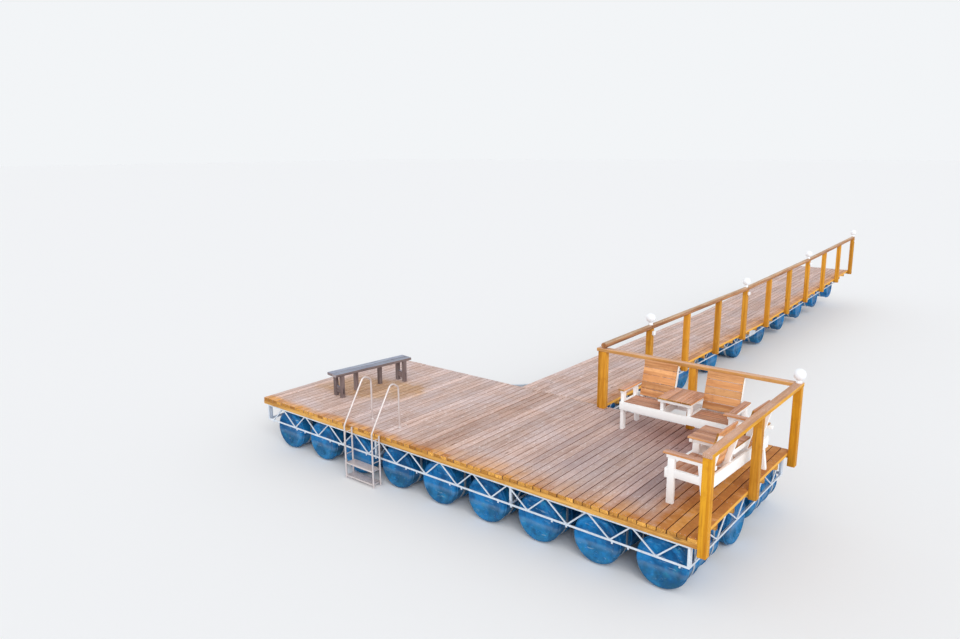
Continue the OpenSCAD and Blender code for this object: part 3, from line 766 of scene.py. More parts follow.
class Finish(Enum):
    """The jetty's finishes."""

    DECK = DeckWood(
        "deck_boards", (0.44, 0.26, 0.17), (0.3, 0.16, 0.1), (0.36, 0.2, 0.12),
        (0.76, 0.57, 0.505), (0.5, 0.34, 0.285), (0.68, 0.58, 0.59),
        greying=0.62, warming=0.6, variety=0.12, flecks=0.75, knots=0.3, gloss=0.68, fine=0.42,
        end_pale=(0.86, 0.46, 0.1), end_dark=(0.35, 0.14, 0.03),
    )
    JOIST = Wood(
        "joists", (0.92, 0.51, 0.13), (0.49, 0.2, 0.035), (0.79, 0.38, 0.09),
        (0.8, 0.45, 0.15), (0.5, 0.24, 0.06), (0.6, 0.42, 0.26), greying=0.15,
    )
    POST = Wood(
        "oiled_posts", (0.75, 0.36, 0.018), (0.5, 0.19, 0.006), (0.68, 0.27, 0.01),
        (0.8, 0.45, 0.1), (0.5, 0.24, 0.05), (0.6, 0.45, 0.3),
        greying=0.12, knots=0.55, gloss=0.55, warming=0.4, variety=0.1,
    )
    OLD_POST = Wood(
        "weathered_posts", (0.78, 0.37, 0.035), (0.5, 0.19, 0.014), (0.7, 0.29, 0.028),
        (0.6, 0.36, 0.12), (0.36, 0.18, 0.05), (0.52, 0.4, 0.28),
        greying=0.12, knots=0.55, gloss=0.6, variety=0.14,
    )
    RAIL = Wood(
        "oiled_rails", (0.9, 0.46, 0.04), (0.62, 0.27, 0.015), (0.76, 0.36, 0.03),
        (0.74, 0.41, 0.25), (0.54, 0.27, 0.14), (0.68, 0.48, 0.42),
        greying=0.45, flecks=0.35, knots=0.45, warming=0.4, variety=0.06,
        end_pale=(0.86, 0.62, 0.5), end_dark=(0.55, 0.3, 0.16),
    )
    BACK_RAIL = Wood(
        "weathered_rails", (0.74, 0.4, 0.14), (0.48, 0.23, 0.07), (0.64, 0.32, 0.11),
        (0.76, 0.46, 0.29), (0.56, 0.3, 0.17), (0.72, 0.54, 0.46),
        greying=0.4, knots=0.45, warming=0.4, variety=0.06,
    )
    LOG = Wood(
        "log_rails", (0.53, 0.25, 0.11), (0.26, 0.1, 0.035), (0.44, 0.19, 0.075),
        (0.62, 0.42, 0.26), (0.38, 0.2, 0.1), (0.6, 0.5, 0.41),
        greying=0.4, gloss=0.55, variety=0.15,
    )
    BENCH = Wood(
        "greyed_bench", (0.3, 0.24, 0.24), (0.16, 0.115, 0.115), (0.28, 0.19, 0.17),
        (0.42, 0.46, 0.58), (0.25, 0.26, 0.35), (0.54, 0.6, 0.68),
        greying=0.6, flecks=0.2, knots=0.4, gloss=0.78, warming=0.4,
        end_pale=(0.4, 0.36, 0.38), end_dark=(0.2, 0.16, 0.17),
    )
    PLANK = Wood(
        "seat_planks", (0.9, 0.475, 0.21), (0.53, 0.22, 0.085), (0.82, 0.39, 0.16),
        (0.74, 0.4, 0.26), (0.42, 0.18, 0.1), (0.7, 0.47, 0.4),
        greying=0.35, gloss=0.6, variety=0.16,
    )
    PAINT = WhitePaint()
    GALVANIZED = Galvanized()
    DRUM_BLUE = DrumPlastic()
    STRAP = Steel("strap_steel", (0.5, 0.54, 0.58), 0.6, 0.42)
    # Steel grey with a pinkish tint, which is a painted reflection of the warm deck.
    STAINLESS = Steel("stainless", (0.74, 0.67, 0.66), 0.6, 0.28, (90.0, 90.0, 6.0))
    ZINC = Steel("zinc_screws", (0.6, 0.6, 0.6), 0.8, 0.35)
    WHITE_PLASTIC = WhitePlastic()

    @cache
    def materials(self) -> list[Material]:
        """The finish's materials, built on first use. Sawn timber has a second one for ends."""
        return self.value.make()


# Modelling


def take(*chosen: Piece) -> None:
    """Selects some objects and no others, and makes the first one active.

    Args:
        chosen: The objects.
    """
    for obj in list(bpy.context.selected_objects):
        obj.select_set(False)
    for obj in chosen:
        obj.select_set(True)
    bpy.context.view_layer.objects.active = chosen[0] if chosen else None


@contextmanager
def editing(obj: Piece) -> Iterator[None]:
    """Opens an object in Edit Mode, with all of it selected, and closes it again.

    Args:
        obj: The object.
    """
    take(obj)
    bpy.ops.object.mode_set(mode="EDIT")
    bpy.ops.mesh.select_all(action="SELECT")
    yield
    bpy.ops.object.mode_set(mode="OBJECT")


def bake_place(obj: Piece) -> None:
    """Applies an object's location, turn and scale to its mesh."""
    take(obj)
    bpy.ops.object.transform_apply(location=True, rotation=True, scale=True)


def moved(obj: Piece, matrix: Matrix) -> Piece:
    """Moves an object's mesh by a matrix and returns the object."""
    obj.data.transform(matrix)
    return obj


def smooth(obj: Piece, angle: float) -> None:
    """Shades faces smooth up to an angle between them, in degrees."""
    take(obj)
    bpy.ops.object.shade_smooth_by_angle(angle=radians(angle))


def tidy_mesh(obj: Piece) -> None:
    """Merges doubles and turns all faces outwards.

    Args:
        obj: The object.
    """
    with editing(obj):
        bpy.ops.mesh.remove_doubles(threshold=1e-5)
        bpy.ops.mesh.normals_make_consistent(inside=False)


def block(size: Point, middle: Point = (0.0, 0.0, 0.0), edge: float = 0.003) -> Piece:
    """Makes a box with rounded edges.

    Args:
        size: Its three sizes.
        middle: Its middle.
        edge: Radius of its edges.

    Returns:
        The new object, with its place in its mesh.
    """
    take()
    bpy.ops.mesh.primitive_cube_add(size=1.0, location=middle)
    obj = bpy.context.object
    obj.scale = size
    bake_place(obj)
    bevel = obj.modifiers.new("edges", "BEVEL")
    bevel.width, bevel.segments = edge, 2
    bevel.limit_method, bevel.angle_limit = "ANGLE", radians(40)
    bpy.ops.object.modifier_apply(modifier=bevel.name)
    return obj


def turned(profile: Profile, sides: int, angle: float = 0.0) -> Piece:
    """Makes a round body about Z, extruded ring by ring.

    Args:
        profile: Radius and height of each ring, from one flat end to the other.
        sides: Number of sides.
        angle: Angle up to which its faces are shaded smooth, in degrees.

    Returns:
        The new closed object.
    """
    take()
    radius, low = profile[0]
    bpy.ops.mesh.primitive_circle_add(
        vertices=sides, radius=radius, fill_type="NGON", location=(0.0, 0.0, low)
    )
    obj = bpy.context.object
    bake_place(obj)
    with editing(obj):
        for wide, high in profile[1:]:
            rise = (0.0, 0.0, high - low)
            bpy.ops.mesh.extrude_region_move(TRANSFORM_OT_translate={"value": rise})
            ratio = wide / radius
            bpy.ops.transform.resize(value=(ratio, ratio, 1.0), center_override=(0.0, 0.0, high))
            radius, low = wide, high
    tidy_mesh(obj)
    if angle > 0:
        smooth(obj, angle)
    return obj


def bent_path(points: Sequence[Point], radius: float) -> list[Vector]:
    """Rounds the inner corners of a path.

    Args:
        points: The path's corners.
        radius: Radius of its bends.

    Returns:
        The points of the rounded path.
    """
    steps = 7
    corners = [Vector(p) for p in points]
    path = [corners[0]]
    for before, corner, after in zip(corners, corners[1:], corners[2:]):
        back, ahead = (before - corner).normalized(), (after - corner).normalized()
        half = back.angle(ahead) / 2
        cut = radius / tan(half)
        middle = corner + (back + ahead).normalized() * (radius / sin(half))
        first, last = corner + back * cut - middle, corner + ahead * cut - middle
        for k in range(steps):
            path.append(middle + first.slerp(last, k / (steps - 1)) * radius)
    return [*path, corners[-1]]


def tube(path: Sequence[Sequence[float]], diameter: float) -> Piece:
    """Makes a round tube with closed ends.

    Args:
        path: Points of its axis.
        diameter: Its diameter.

    Returns:
        The new object.
    """
    curve = bpy.data.curves.new("tube", "CURVE")
    curve.dimensions = "3D"
    curve.bevel_depth, curve.bevel_resolution = diameter / 2, 5
    curve.use_fill_caps = True
    spline = curve.splines.new("POLY")
    spline.points.add(len(path) - 1)
    for point, at in zip(spline.points, path):
        point.co = (*at, 1.0)
    obj = bpy.data.objects.new("tube", curve)
    bpy.context.scene.collection.objects.link(obj)
    take(obj)
    bpy.ops.object.convert(target="MESH")
    obj = bpy.context.object
    tidy_mesh(obj)
    smooth(obj, 40.0)
    return obj


def joined(parts: Sequence[Piece], name: str, angle: float = 0.0) -> Piece:
    """Joins objects into one.

    Args:
        parts: The objects.
        name: Name of the whole.
        angle: Angle up to which its faces are shaded smooth, or 0 to leave them.

    Returns:
        The whole.
    """
    take(*parts)
    if len(parts) > 1:
        bpy.ops.object.join()
    whole = bpy.context.object
    whole.name = whole.data.name = name
    if angle > 0:
        smooth(whole, angle)
    return whole


def copied(master: Piece, matrix: Matrix) -> Piece:
    """Copies an object with its mesh.

    Args:
        master: The object.
        matrix: Where the copy goes.

    Returns:
        The copy.
    """
    obj = master.copy()
    obj.data = master.data.copy()
    bpy.context.scene.collection.objects.link(obj)
    return moved(obj, matrix)


def discard(*masters: Piece) -> None:
    """Removes masters that are no longer needed."""
    for obj in masters:
        bpy.data.objects.remove(obj)


def repeated(obj: Piece, *rows: tuple[int, Point]) -> Piece:
    """Repeats an object in rows with applied Array modifiers.

    Args:
        obj: The object.
        rows: For each row, how many and the step between two.

    Returns:
        The same object.
    """
    take(obj)
    for count, step in rows:
        row = obj.modifiers.new("row", "ARRAY")
        row.count, row.use_relative_offset, row.use_constant_offset = count, False, True
        row.constant_offset_displace = step
        bpy.ops.object.modifier_apply(modifier=row.name)
    return obj


def dress(obj: Piece, finish: Finish) -> None:
    """Gives a piece its finish.

    Args:
        obj: The piece.
        finish: The finish.
    """
    obj.data.materials.clear()
    for material in finish.materials():
        obj.data.materials.append(material)


def publish(obj: Piece, finish: Finish | None = None, node: str = "") -> None:
    """Hands a finished piece to the frame.

    Args:
        obj: The piece.
        finish: Its finish, if it has none yet.
        node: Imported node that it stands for, if there is one.
    """
    if finish:
        dress(obj, finish)
    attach(obj, "root")
    if node:
        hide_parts(node)
    LOG.info("%s: %d faces", obj.name, len(obj.data.polygons))


# Timber


END_FACE = 0.9  # share of a face's normal along the grain that makes it a sawn end


def mark_timber(mesh: bpy.types.Mesh, slip: Sequence[float], tone: float, ends: bool) -> None:
    """Stores what the timber finishes need in a mesh whose length is along X.

    Args:
        mesh: The mesh.
        slip: Offset of its grain, so that no two pieces look alike.
        tone: Its tone, from 0 to 1.
        ends: Whether its sawn ends have a material of their own.
    """
    flat = [c for v in mesh.vertices for c in (v.co + Vector(slip))]
    mesh.attributes.new("grain", "FLOAT_VECTOR", "POINT").data.foreach_set("vector", flat)
    tones = [tone] * len(mesh.vertices)
    mesh.attributes.new("tone", "FLOAT", "POINT").data.foreach_set("value", tones)
    for face in mesh.polygons:
        face.material_index = int(ends and abs(face.normal.x) > END_FACE)


@dataclass(kw_only=True)
class Joinery:
    """A sub-assembly of sawn timber."""

    seed: int = 0

    def __post_init__(self) -> None:
        """Starts with no timber."""
        self.random = random.Random(self.seed)
        self.stock: dict[tuple, Piece] = {}
        self.laid: list[Piece] = []

    def build(self) -> None:
        """Makes the sub-assembly and clears away the master boards."""
        self.make()
        discard(*self.stock.values())

    def make(self) -> None:
        """Lays and joins the timber. Each sub-assembly has its own way."""
        raise NotImplementedError

    def _saw(self, size: Point, edge: float, warp: float, kind: int) -> Piece:
        """Takes a master board along X from stock, or saws it.

        Args:
            size: Length, width and thickness.
            edge: Radius of its edges.
            warp: Most that it bends to a side or up.
            kind: Number of the bend, so that not all boards bend alike.

        Returns:
            The master board.
        """
        key = (*(round(v, 4) for v in size), edge, warp, kind)
        if key not in self.stock:
            self.stock[key] = block(size, edge=edge)
            if warp > 0:
                self._bend(self.stock[key], size[0], warp, kind)
        return self.stock[key]

    @staticmethod
    def _bend(obj: Piece, length: float, warp: float, kind: int) -> None:
        """Cuts a board into short lengths and bends it a little.

        Args:
            obj: The board, along X.
            length: Its length.
            warp: Most that it bends.
            kind: Number of the bend.
        """
        cuts = max(2, round(length / 0.3))
        with editing(obj):
            for k in range(1, cuts):
                bpy.ops.mesh.select_all(action="SELECT")
                at = -length / 2 + length * k / cuts
                bpy.ops.mesh.bisect(plane_co=(at, 0.0, 0.0), plane_no=(1.0, 0.0, 0.0))
        for vertex in obj.data.vertices:
            along = vertex.co.x * 0.9 + kind * 17.3
            vertex.co.y += warp * noise.noise(Vector((along, 0.0, 3.1)))
            vertex.co.z += warp * 0.6 * noise.noise(Vector((along, 5.2, vertex.co.y * 9)))

    def lay(
        self,
        size: Point,
        matrix: Matrix,
        finish: Finish,
        edge: float = 0.003,
        warp: float = 0.0,
        trims: Sequence[tuple[Vector, Vector]] = (),
    ) -> None:
        """Lays one piece of timber, which join() collects.

        Args:
            size: Length, width and thickness.
            matrix: Where its middle goes and how it is turned, in the frame.
            finish: Its finish.
            edge: Radius of its edges.
            warp: Most that it bends.
            trims: Planes, as a point and a normal in the frame, past which it is cut off.
        """
        master = self._saw(size, edge, warp, self.random.randrange(4) if warp else 0)
        obj = copied(master, Matrix.Identity(4))
        materials = finish.materials()
        slip = [self.random.uniform(-40.0, 40.0) for _ in range(3)]
        mark_timber(obj.data, slip, self.random.random(), len(materials) > 1)
        for material in materials:
            obj.data.materials.append(material)
        moved(obj, matrix)
        for point, normal in trims:
            with editing(obj):
                bpy.ops.mesh.bisect(
                    plane_co=point, plane_no=normal, clear_outer=True, use_fill=True
                )
        self.laid.append(obj)

    def join(self, name: str, slot: str, node: str) -> None:
        """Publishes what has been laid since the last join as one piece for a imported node."""
        publish(joined(self.laid, name, 35.0), node=node)
        self.laid = []


def across(matrix: Matrix, middle: Point, turn: float = 0.0) -> Matrix:
    """Places timber flat in a part of the jetty, its length turned from X in degrees."""
    return matrix @ shift(*middle) @ spin(turn, "Z")


def upright(matrix: Matrix, middle: Point, lean: float = 0.0) -> Matrix:
    """Places timber with its length along Z and its width along Y, leaning towards +Y."""
    return matrix @ shift(*middle) @ spin(-lean, "X") @ spin(-90.0, "Y")


# Sub-assemblies


@dataclass(frozen=True)
class Deck:
    """Where one of the three decks lies, and its boards."""

    name: str
    matrix: Matrix
    left: float
    width: float
    start: float
    length: float
    boards: int
    board_w: float
    warp: float
    single: bool = False

    @property
    def pitch(self) -> float:
        """Distance between two boards' middles."""
        return self.width / self.boards

    @property
    def joist_ys(self) -> list[float]:
        """Places of the joists under the deck.

        Returns:
            Y of each joist's middle.
        """
        free = self.length - SIZES.joist_w
        steps = ceil(free / SIZES.joist_pitch)
        return [self.start + SIZES.joist_w / 2 + i * free / steps for i in range(steps + 1)]


@dataclass(kw_only=True)
class Decks(Joinery):
    """Boards, joists and screws of the platform and of both gangway lengths."""

    seed: int = 11
    board_w: float = 0.1036
    gang_board_w: float = 0.1026
    board_t: float = 0.044
    boards: int = 65
    gang_boards: int = 14
    stagger: Sequence[float] = (1.8, 3.6, 2.7, 4.5)
    butt: float = 0.0015
    clear: float = 0.0002
    warp: float = 0.0022
    gang_warp: float = 0.002
    end_slip: Pair = (-0.004, 0.003)
    side_slip: Pair = (-0.0008, 0.0008)
    board_edge: float = 0.004
    screw: Profile = ((0.0044, -0.001), (0.0044, 0.0004), (0.003, 0.0008), (0.0012, 0.0002))

    def make(self) -> None:
        """Builds the three decks."""
        gang = (SIZES.gang_len - SIZES.joint_gap / 2, self.gang_boards, self.gang_board_w,
                self.gang_warp)
        decks = (
            Deck("platform", level(), 0.0, SIZES.deck_len, 0.0, SIZES.deck_depth,
                 self.boards, self.board_w, self.warp, True),
            Deck("gangway", level(), SIZES.gang_x, SIZES.gang_w, SIZES.deck_depth, *gang),
            Deck("shore", ramp(), SIZES.gang_x, SIZES.gang_w, SIZES.joint_gap / 2, *gang),
        )
        for deck in decks:
            self._boards(deck)
            self._joists(deck)
        for deck in decks:
            self._screws(deck)

    def _boards(self, deck: Deck) -> None:
        """Lays a deck's boards: single ones on the platform, in two lengths elsewhere.

        Args:
            deck: The deck.
        """
        loose = random.Random(5)
        for i in range(deck.boards):
            split = self.stagger[i % len(self.stagger)]
            runs = [(0.0, split - self.butt), (split + self.butt, deck.length)]
            slip = nudge = 0.0
            if deck.single:
                runs = [(0.0, deck.length)]
                slip, nudge = loose.uniform(*self.end_slip), loose.uniform(*self.side_slip)
            for low, high in runs:
                x = deck.left + (i + 0.5) * deck.pitch + nudge
                y = deck.start + (low + high) / 2 + slip
                place = across(deck.matrix, (x, y, -self.board_t / 2), 90.0)
                size = (high - low, deck.board_w, self.board_t)
                self.lay(size, place, Finish.DECK, self.board_edge, deck.warp)
        self.join(f"{deck.name}_boards", "deck_boards", f"{deck.name}_deck")

    def _joists(self, deck: Deck) -> None:
        """Lays the joists under a deck.

        Args:
            deck: The deck.
        """
        high = -SIZES.joist_z - self.board_t - 2 * self.clear
        z = -self.board_t - self.clear - high / 2
        for y in deck.joist_ys:
            place = across(deck.matrix, (deck.left + deck.width / 2, y, z))
            self.lay((deck.width, SIZES.joist_w, high), place, Finish.JOIST)
        self.join(f"{deck.name}_timbers", "oiled_timber", f"{deck.name}_joists")

    def _screws(self, deck: Deck) -> None:
        """Sets two screws in every board at every joist.

        Args:
            deck: The deck.
        """
        apart, ys = self.board_w / 2, deck.joist_ys
        first = shift(deck.left + (deck.pitch - apart) / 2, ys[0], 3 * self.clear)
        rows = (
            (2, (apart, 0.0, 0.0)), (deck.boards, (deck.pitch, 0.0, 0.0)),
            (len(ys), (0.0, ys[1] - ys[0], 0.0)),
        )
        screws = moved(repeated(moved(turned(self.screw, 6), first), *rows), deck.matrix)
        publish(joined([screws], f"{deck.name}_screws"), Finish.ZINC)


@dataclass
class Floats:
    """Plastic drums with hoops, a sunk head and two bungs."""

    sides: int = 44
    bung_angles: Pair = (90.0, 250.0)
    bung_at: float = 0.62  # share of the drum's radius
    bung: Profile = ((0.034, 0.0), (0.034, 0.006), (0.03, 0.009), (0.024, 0.009), (0.022, 0.005))

    def build(self) -> None:
        """Builds all the drums."""
        front = SIZES.inset_front + SIZES.chord + SIZES.drum_gap
        side = SIZES.inset_side + SIZES.chord + 3 * SIZES.drum_gap
        right = SIZES.gang_x + (SIZES.gang_w + SIZES.drum_len) / 2
        middle, bays = SIZES.deck_depth / 2, [(i + 0.5) * SIZES.bay for i in range(SIZES.bays)]
        rows = {
            "front": [(level(), x, front, 0.0) for x in SIZES.drum_axes],
            "back": [(level(), x, SIZES.deck_depth - front, 180.0) for x in SIZES.drum_axes],
            "middle": [(level(), side, middle, -90.0), (level(), SIZES.deck_len - side, middle, 90.0)],
            "gangway": [(level(), right, SIZES.deck_depth + y, 90.0) for y in bays],
            "shore": [(ramp(), right, y, 90.0) for y in bays],
        }
        drum = self._drum()
        for name, places in rows.items():
            row = [copied(drum, m @ shift(x, y, SIZES.drum_z) @ spin(a, "Z")) for m, x, y, a in places]
            whole = joined(row, f"{name}_drums")
            publish(whole, Finish.DRUM_BLUE, f"{name}_floats")
        discard(drum)

    def _drum(self) -> Piece:
        """Builds a drum from y = 0 to its length, with two bungs in its first head.

        Returns:
            The new object.
        """
        top, wall = SIZES.ring_d / 2, SIZES.ring_d / 2 - SIZES.ring_h
        shoulder, ring, sink, crown = 0.12 * top, 0.1 * top, 0.06 * top, 0.001
        rounding = [
            (wall - shoulder + shoulder * sin(a), shoulder - shoulder * cos(a))
            for a in map(radians, (12, 30, 48, 66, 84))
        ]
        hoops = [
            (r, at + ring * by)
            for at in (shoulder + ring * 0.75, SIZES.drum_len / 2 * 0.7)
            for r, by in ((wall, -0.5), (top - crown, -0.25), (top, 0.0), (top - crown, 0.25),
                          (wall, 0.5))
        ]
        head = [
            (0.3 * wall, sink), (wall - 2.0 * shoulder, sink), (wall - 1.9 * shoulder, sink - 0.002),
            (wall - 1.32 * shoulder, 0.001), (wall - shoulder * 1.1, 0.0),
        ]
        first = [*head, *rounding, *hoops]
        parts = [turned([*first, *((r, SIZES.drum_len - y) for r, y in reversed(first))], self.sides)]
        out = self.bung_at * wall
        for a in map(radians, self.bung_angles):
            at = shift(out * cos(a), out * sin(a), sink)
            parts.append(moved(turned(self.bung, 16), at @ spin(180.0, "X")))
        return moved(joined(parts, "drum", 45.0), spin(-90.0, "X"))


@dataclass(kw_only=True)
class Rails(Joinery):
    """Posts, flat rails and the log rail."""

    seed: int = 23
    log_step: float = 0.24
    log_gap: float = 0.008
    log_edge: float = 0.006
    post_edge: float = 0.005
    rail_edge: float = 0.006

    def make(self) -> None:
        """Builds all posts and rails."""
        self._platform()
        self._gangway()
        self._logs()

    def _post(
        self, matrix: Matrix, foot: Point, high: float, finish: Finish = Finish.OLD_POST
    ) -> None:
        """Sets up one square post.

        Args:
            matrix: Matrix of the part of the jetty.
            foot: Middle of its foot.
            high: Height of its top.
            finish: Its finish.
        """
        middle = (foot[0], foot[1], (foot[2] + high) / 2)
        size = (high - foot[2], SIZES.post_w, SIZES.post_w)
        self.lay(size, upright(matrix, middle), finish, self.post_edge)

    def _rail(self, x: Pair, y: Pair, finish: Finish) -> None:
        """Lays a flat rail.

        Args:
            x: Range of X that it fills.
            y: Range of Y that it fills.
            finish: Its finish.
        """
        middle = (sum(x) / 2, sum(y) / 2, SIZES.rail_low + SIZES.rail_t / 2)
        length, turn = max((x[1] - x[0], 0.0), (y[1] - y[0], 90.0))
        size = (length, SIZES.rail_w, SIZES.rail_t)
        self.lay(size, across(level(), middle, turn), finish, self.rail_edge)

    def _platform(self) -> None:
        """Sets up the platform's posts and rails."""
        first, last, half = SIZES.post_w / 2, SIZES.back_post_y, SIZES.rail_w / 2
        for y, low, finish in (
            (first, -SIZES.post_drop, Finish.POST), (last, -SIZES.post_drop, Finish.POST),
            ((first + last) / 2, SIZES.joist_z, Finish.OLD_POST),
        ):
            self._post(level(), (SIZES.right_post_x, y, low), SIZES.rail_low, finish)
        self.join("right_rail_posts", "oiled_timber", "right_posts")
        for x in (SIZES.gang_post_x, (SIZES.gang_post_x + SIZES.right_post_x) / 2):
            self._post(level(), (x, last, 0.0), SIZES.rail_low)
        wide = SIZES.post_w * 0.75
        size = (SIZES.rail_low, wide, SIZES.post_w / 2)
        middle = (SIZES.gang_post_x - wide, last + SIZES.post_w / 8, SIZES.rail_low / 2)
        self.lay(size, upright(level(), middle), Finish.OLD_POST, 0.004)
        self.join("back_rail_posts", "oiled_timber", "back_posts")
        right = SIZES.right_post_x - half
        self._rail((right, SIZES.right_post_x + half), (0.0, last + half), Finish.RAIL)
        self.join("right_handrail", "oiled_timber", "right_rail")
        left = SIZES.gang_post_x - SIZES.post_w - SIZES.rail_over
        self._rail((left, right), (last - half, last + half), Finish.BACK_RAIL)
        self.join("back_handrail", "oiled_timber", "back_rail")

    def _gangway(self) -> None:
        """Sets up the posts of both gangway lengths."""
        sunk = SIZES.log_d / 2 - SIZES.log_seat
        for i in range(1, SIZES.bays + 1):
            foot = (SIZES.gang_post_x, SIZES.deck_depth - SIZES.post_in + i * SIZES.bay, SIZES.joist_z)
            self._post(level(), foot, SIZES.log_height(i) - sunk)
        self.join("gangway_rail_posts", "oiled_timber", "gangway_posts")
        for i in range(1, SIZES.bays + 1):
            lift = SIZES.log_height(SIZES.bays + i) - SIZES.stations[SIZES.bays + i][1]
            foot = (SIZES.gang_post_x, i * SIZES.bay - SIZES.post_in, SIZES.joist_z)
            self._post(ramp(), foot, SIZES.log_z + lift * cos(radians(SIZES.ramp_turn)) - sunk)
        self.join("shore_rail_posts", "oiled_timber", "shore_posts")

    def _logs(self) -> None:
        """Lays the logs from lamp to lamp, the first and last past the posts' middles."""
        ends, half = [0, *SIZES.lamp_stations], SIZES.post_w / 2
        logs = []
        for k, (a, b) in enumerate(zip(ends, ends[1:])):
            start, stop = Vector(SIZES.stations[a]), Vector(SIZES.stations[b])
            heading = (stop - start).normalized()
            if a == ends[0]:
                start -= Vector((half, 0.0))
            if b == ends[-1]:
                stop += Vector((half, half * tan(radians(SIZES.ramp_turn))))
            log = self._log((stop - start).length - self.log_gap, k)
            slope = spin(degrees(atan2(heading.y, heading.x)), "X")
            place = level() @ shift(SIZES.gang_post_x, *((start + stop) / 2))
            logs.append(moved(log, place @ slope @ spin(90.0, "Z")))
        publish(joined(logs, "log_handrails", 40.0), Finish.LOG, "log_rails")

    def _log(self, length: float, kind: int) -> Piece:
        """Turns a slightly uneven log along X about its middle.

        Args:
            length: Its length.
            kind: Number of the log, for its unevenness.

        Returns:
            The new object.
        """
        radius, half = SIZES.log_d / 2, length / 2
        steps = max(3, round(length / self.log_step))
        end = [(radius * 0.86, -half), (radius * 0.985, -half + self.log_edge)]
        rings = [(radius, -half + length * i / steps) for i in range(1, steps)]
        rings = [*end, *rings, *((r, -z) for r, z in reversed(end))]
        log = moved(turned(rings, 20), spin(90.0, "Y"))
        mark_timber(log.data, (kind * 13.7, kind * 5.1, 2.3), (0.21 + 0.37 * kind) % 1.0, True)
        for vertex in log.data.vertices:
            x, y, z = vertex.co
            swell = 1.0 - 0.05 * abs(noise.noise(Vector((x * 2.2, y * 14, z * 14 + kind))))
            bow = 0.003 * noise.noise(Vector((x * 0.8 + kind * 7.0, 0.0, 0.0)))
            vertex.co = (x, y * swell + bow, z * swell)
        return log


@dataclass
class Lamps:
    """Globe lamps on turned holders, with a junction box under each gangway lamp."""

    sunk: float = 0.008
    neck_r: float = 0.03
    globe_sunk: float = 0.01
    box_drop: float = 0.012
    gland: Profile = ((0.011, -0.014), (0.011, -0.004), (0.008, -0.003), (0.008, 0.004))

    def build(self) -> None:
        """Builds the lamps."""
        spots = [
            (SIZES.gang_post_x, SIZES.stations[i][0], SIZES.log_height(i))
            for i in SIZES.lamp_stations
        ]
        tops = [level() @ shift(x, y, z + SIZES.log_d / 2) for x, y, z in spots]
        corner = level() @ shift(SIZES.right_post_x, SIZES.back_post_y, SIZES.rail_top)
        holder, flat, globe = self._holder(-self.sunk), self._holder(0.0), self._globe()
        holders = [*(copied(holder, top) for top in tops), copied(flat, corner)]
        globes = [copied(globe, top) for top in (*tops, corner)]
        x_face, drop = SIZES.gang_post_x + SIZES.post_w / 2, SIZES.log_d / 2 + SIZES.jbox + self.box_drop
        boxes = [self._box(level() @ shift(x_face, y, z - drop)) for _, y, z in spots]
        for parts, name, node in (
            (holders, "globe_holders", "lamp_holders"), (globes, "globes", "lamp_globes"),
            (boxes, "cable_boxes", "junction_boxes"),
        ):
            publish(joined(parts, name), Finish.WHITE_PLASTIC, node)
        discard(holder, flat, globe)

    @staticmethod
    def _holder(low: float) -> Piece:
        """Turns a lamp holder.

        Args:
            low: Height of its foot.

        Returns:
            The new object.
        """
        r = SIZES.holder_d / 2
        rings = [(r, low), (r, 0.012), (r - 0.004, 0.015), (r - 0.008, 0.018),
                 (r - 0.01, 0.03), (r - 0.003, 0.036), (r - 0.003, SIZES.holder_h)]
        return turned(rings, 28, 35.0)

    def _globe(self) -> Piece:
        """Turns a globe on a short neck, standing on its holder.

        Returns:
            The new object.
        """
        radius = SIZES.globe_d / 2
        middle = SIZES.holder_h + radius - self.globe_sunk
        rings = [(self.neck_r, SIZES.holder_h), (self.neck_r + 0.002, SIZES.holder_h + 0.002)]
        for a in (radians(step * 10.0 - 1.0) for step in range(3, 19)):
            rings.append((radius * sin(a), middle - radius * cos(a)))
        return turned(rings, 36, 60.0)

    def _box(self, matrix: Matrix) -> Piece:
        """Builds a round-cornered cable box with a lid, and a gland under it.

        Args:
            matrix: Where its foot goes.

        Returns:
            The new object.
        """
        size, deep = SIZES.jbox, SIZES.jbox * 0.6
        body = block((deep * 0.8, size, size), (deep * 0.4, 0.0, size / 2), 0.009)
        lid = block((deep * 0.18, size * 0.96, size * 0.96), (deep * 0.9, 0.0, size / 2), 0.004)
        gland = moved(turned(self.gland, 12), shift(deep * 0.4, 0.0, 0.0))
        return moved(joined([body, lid, gland], "box", 40.0), matrix)


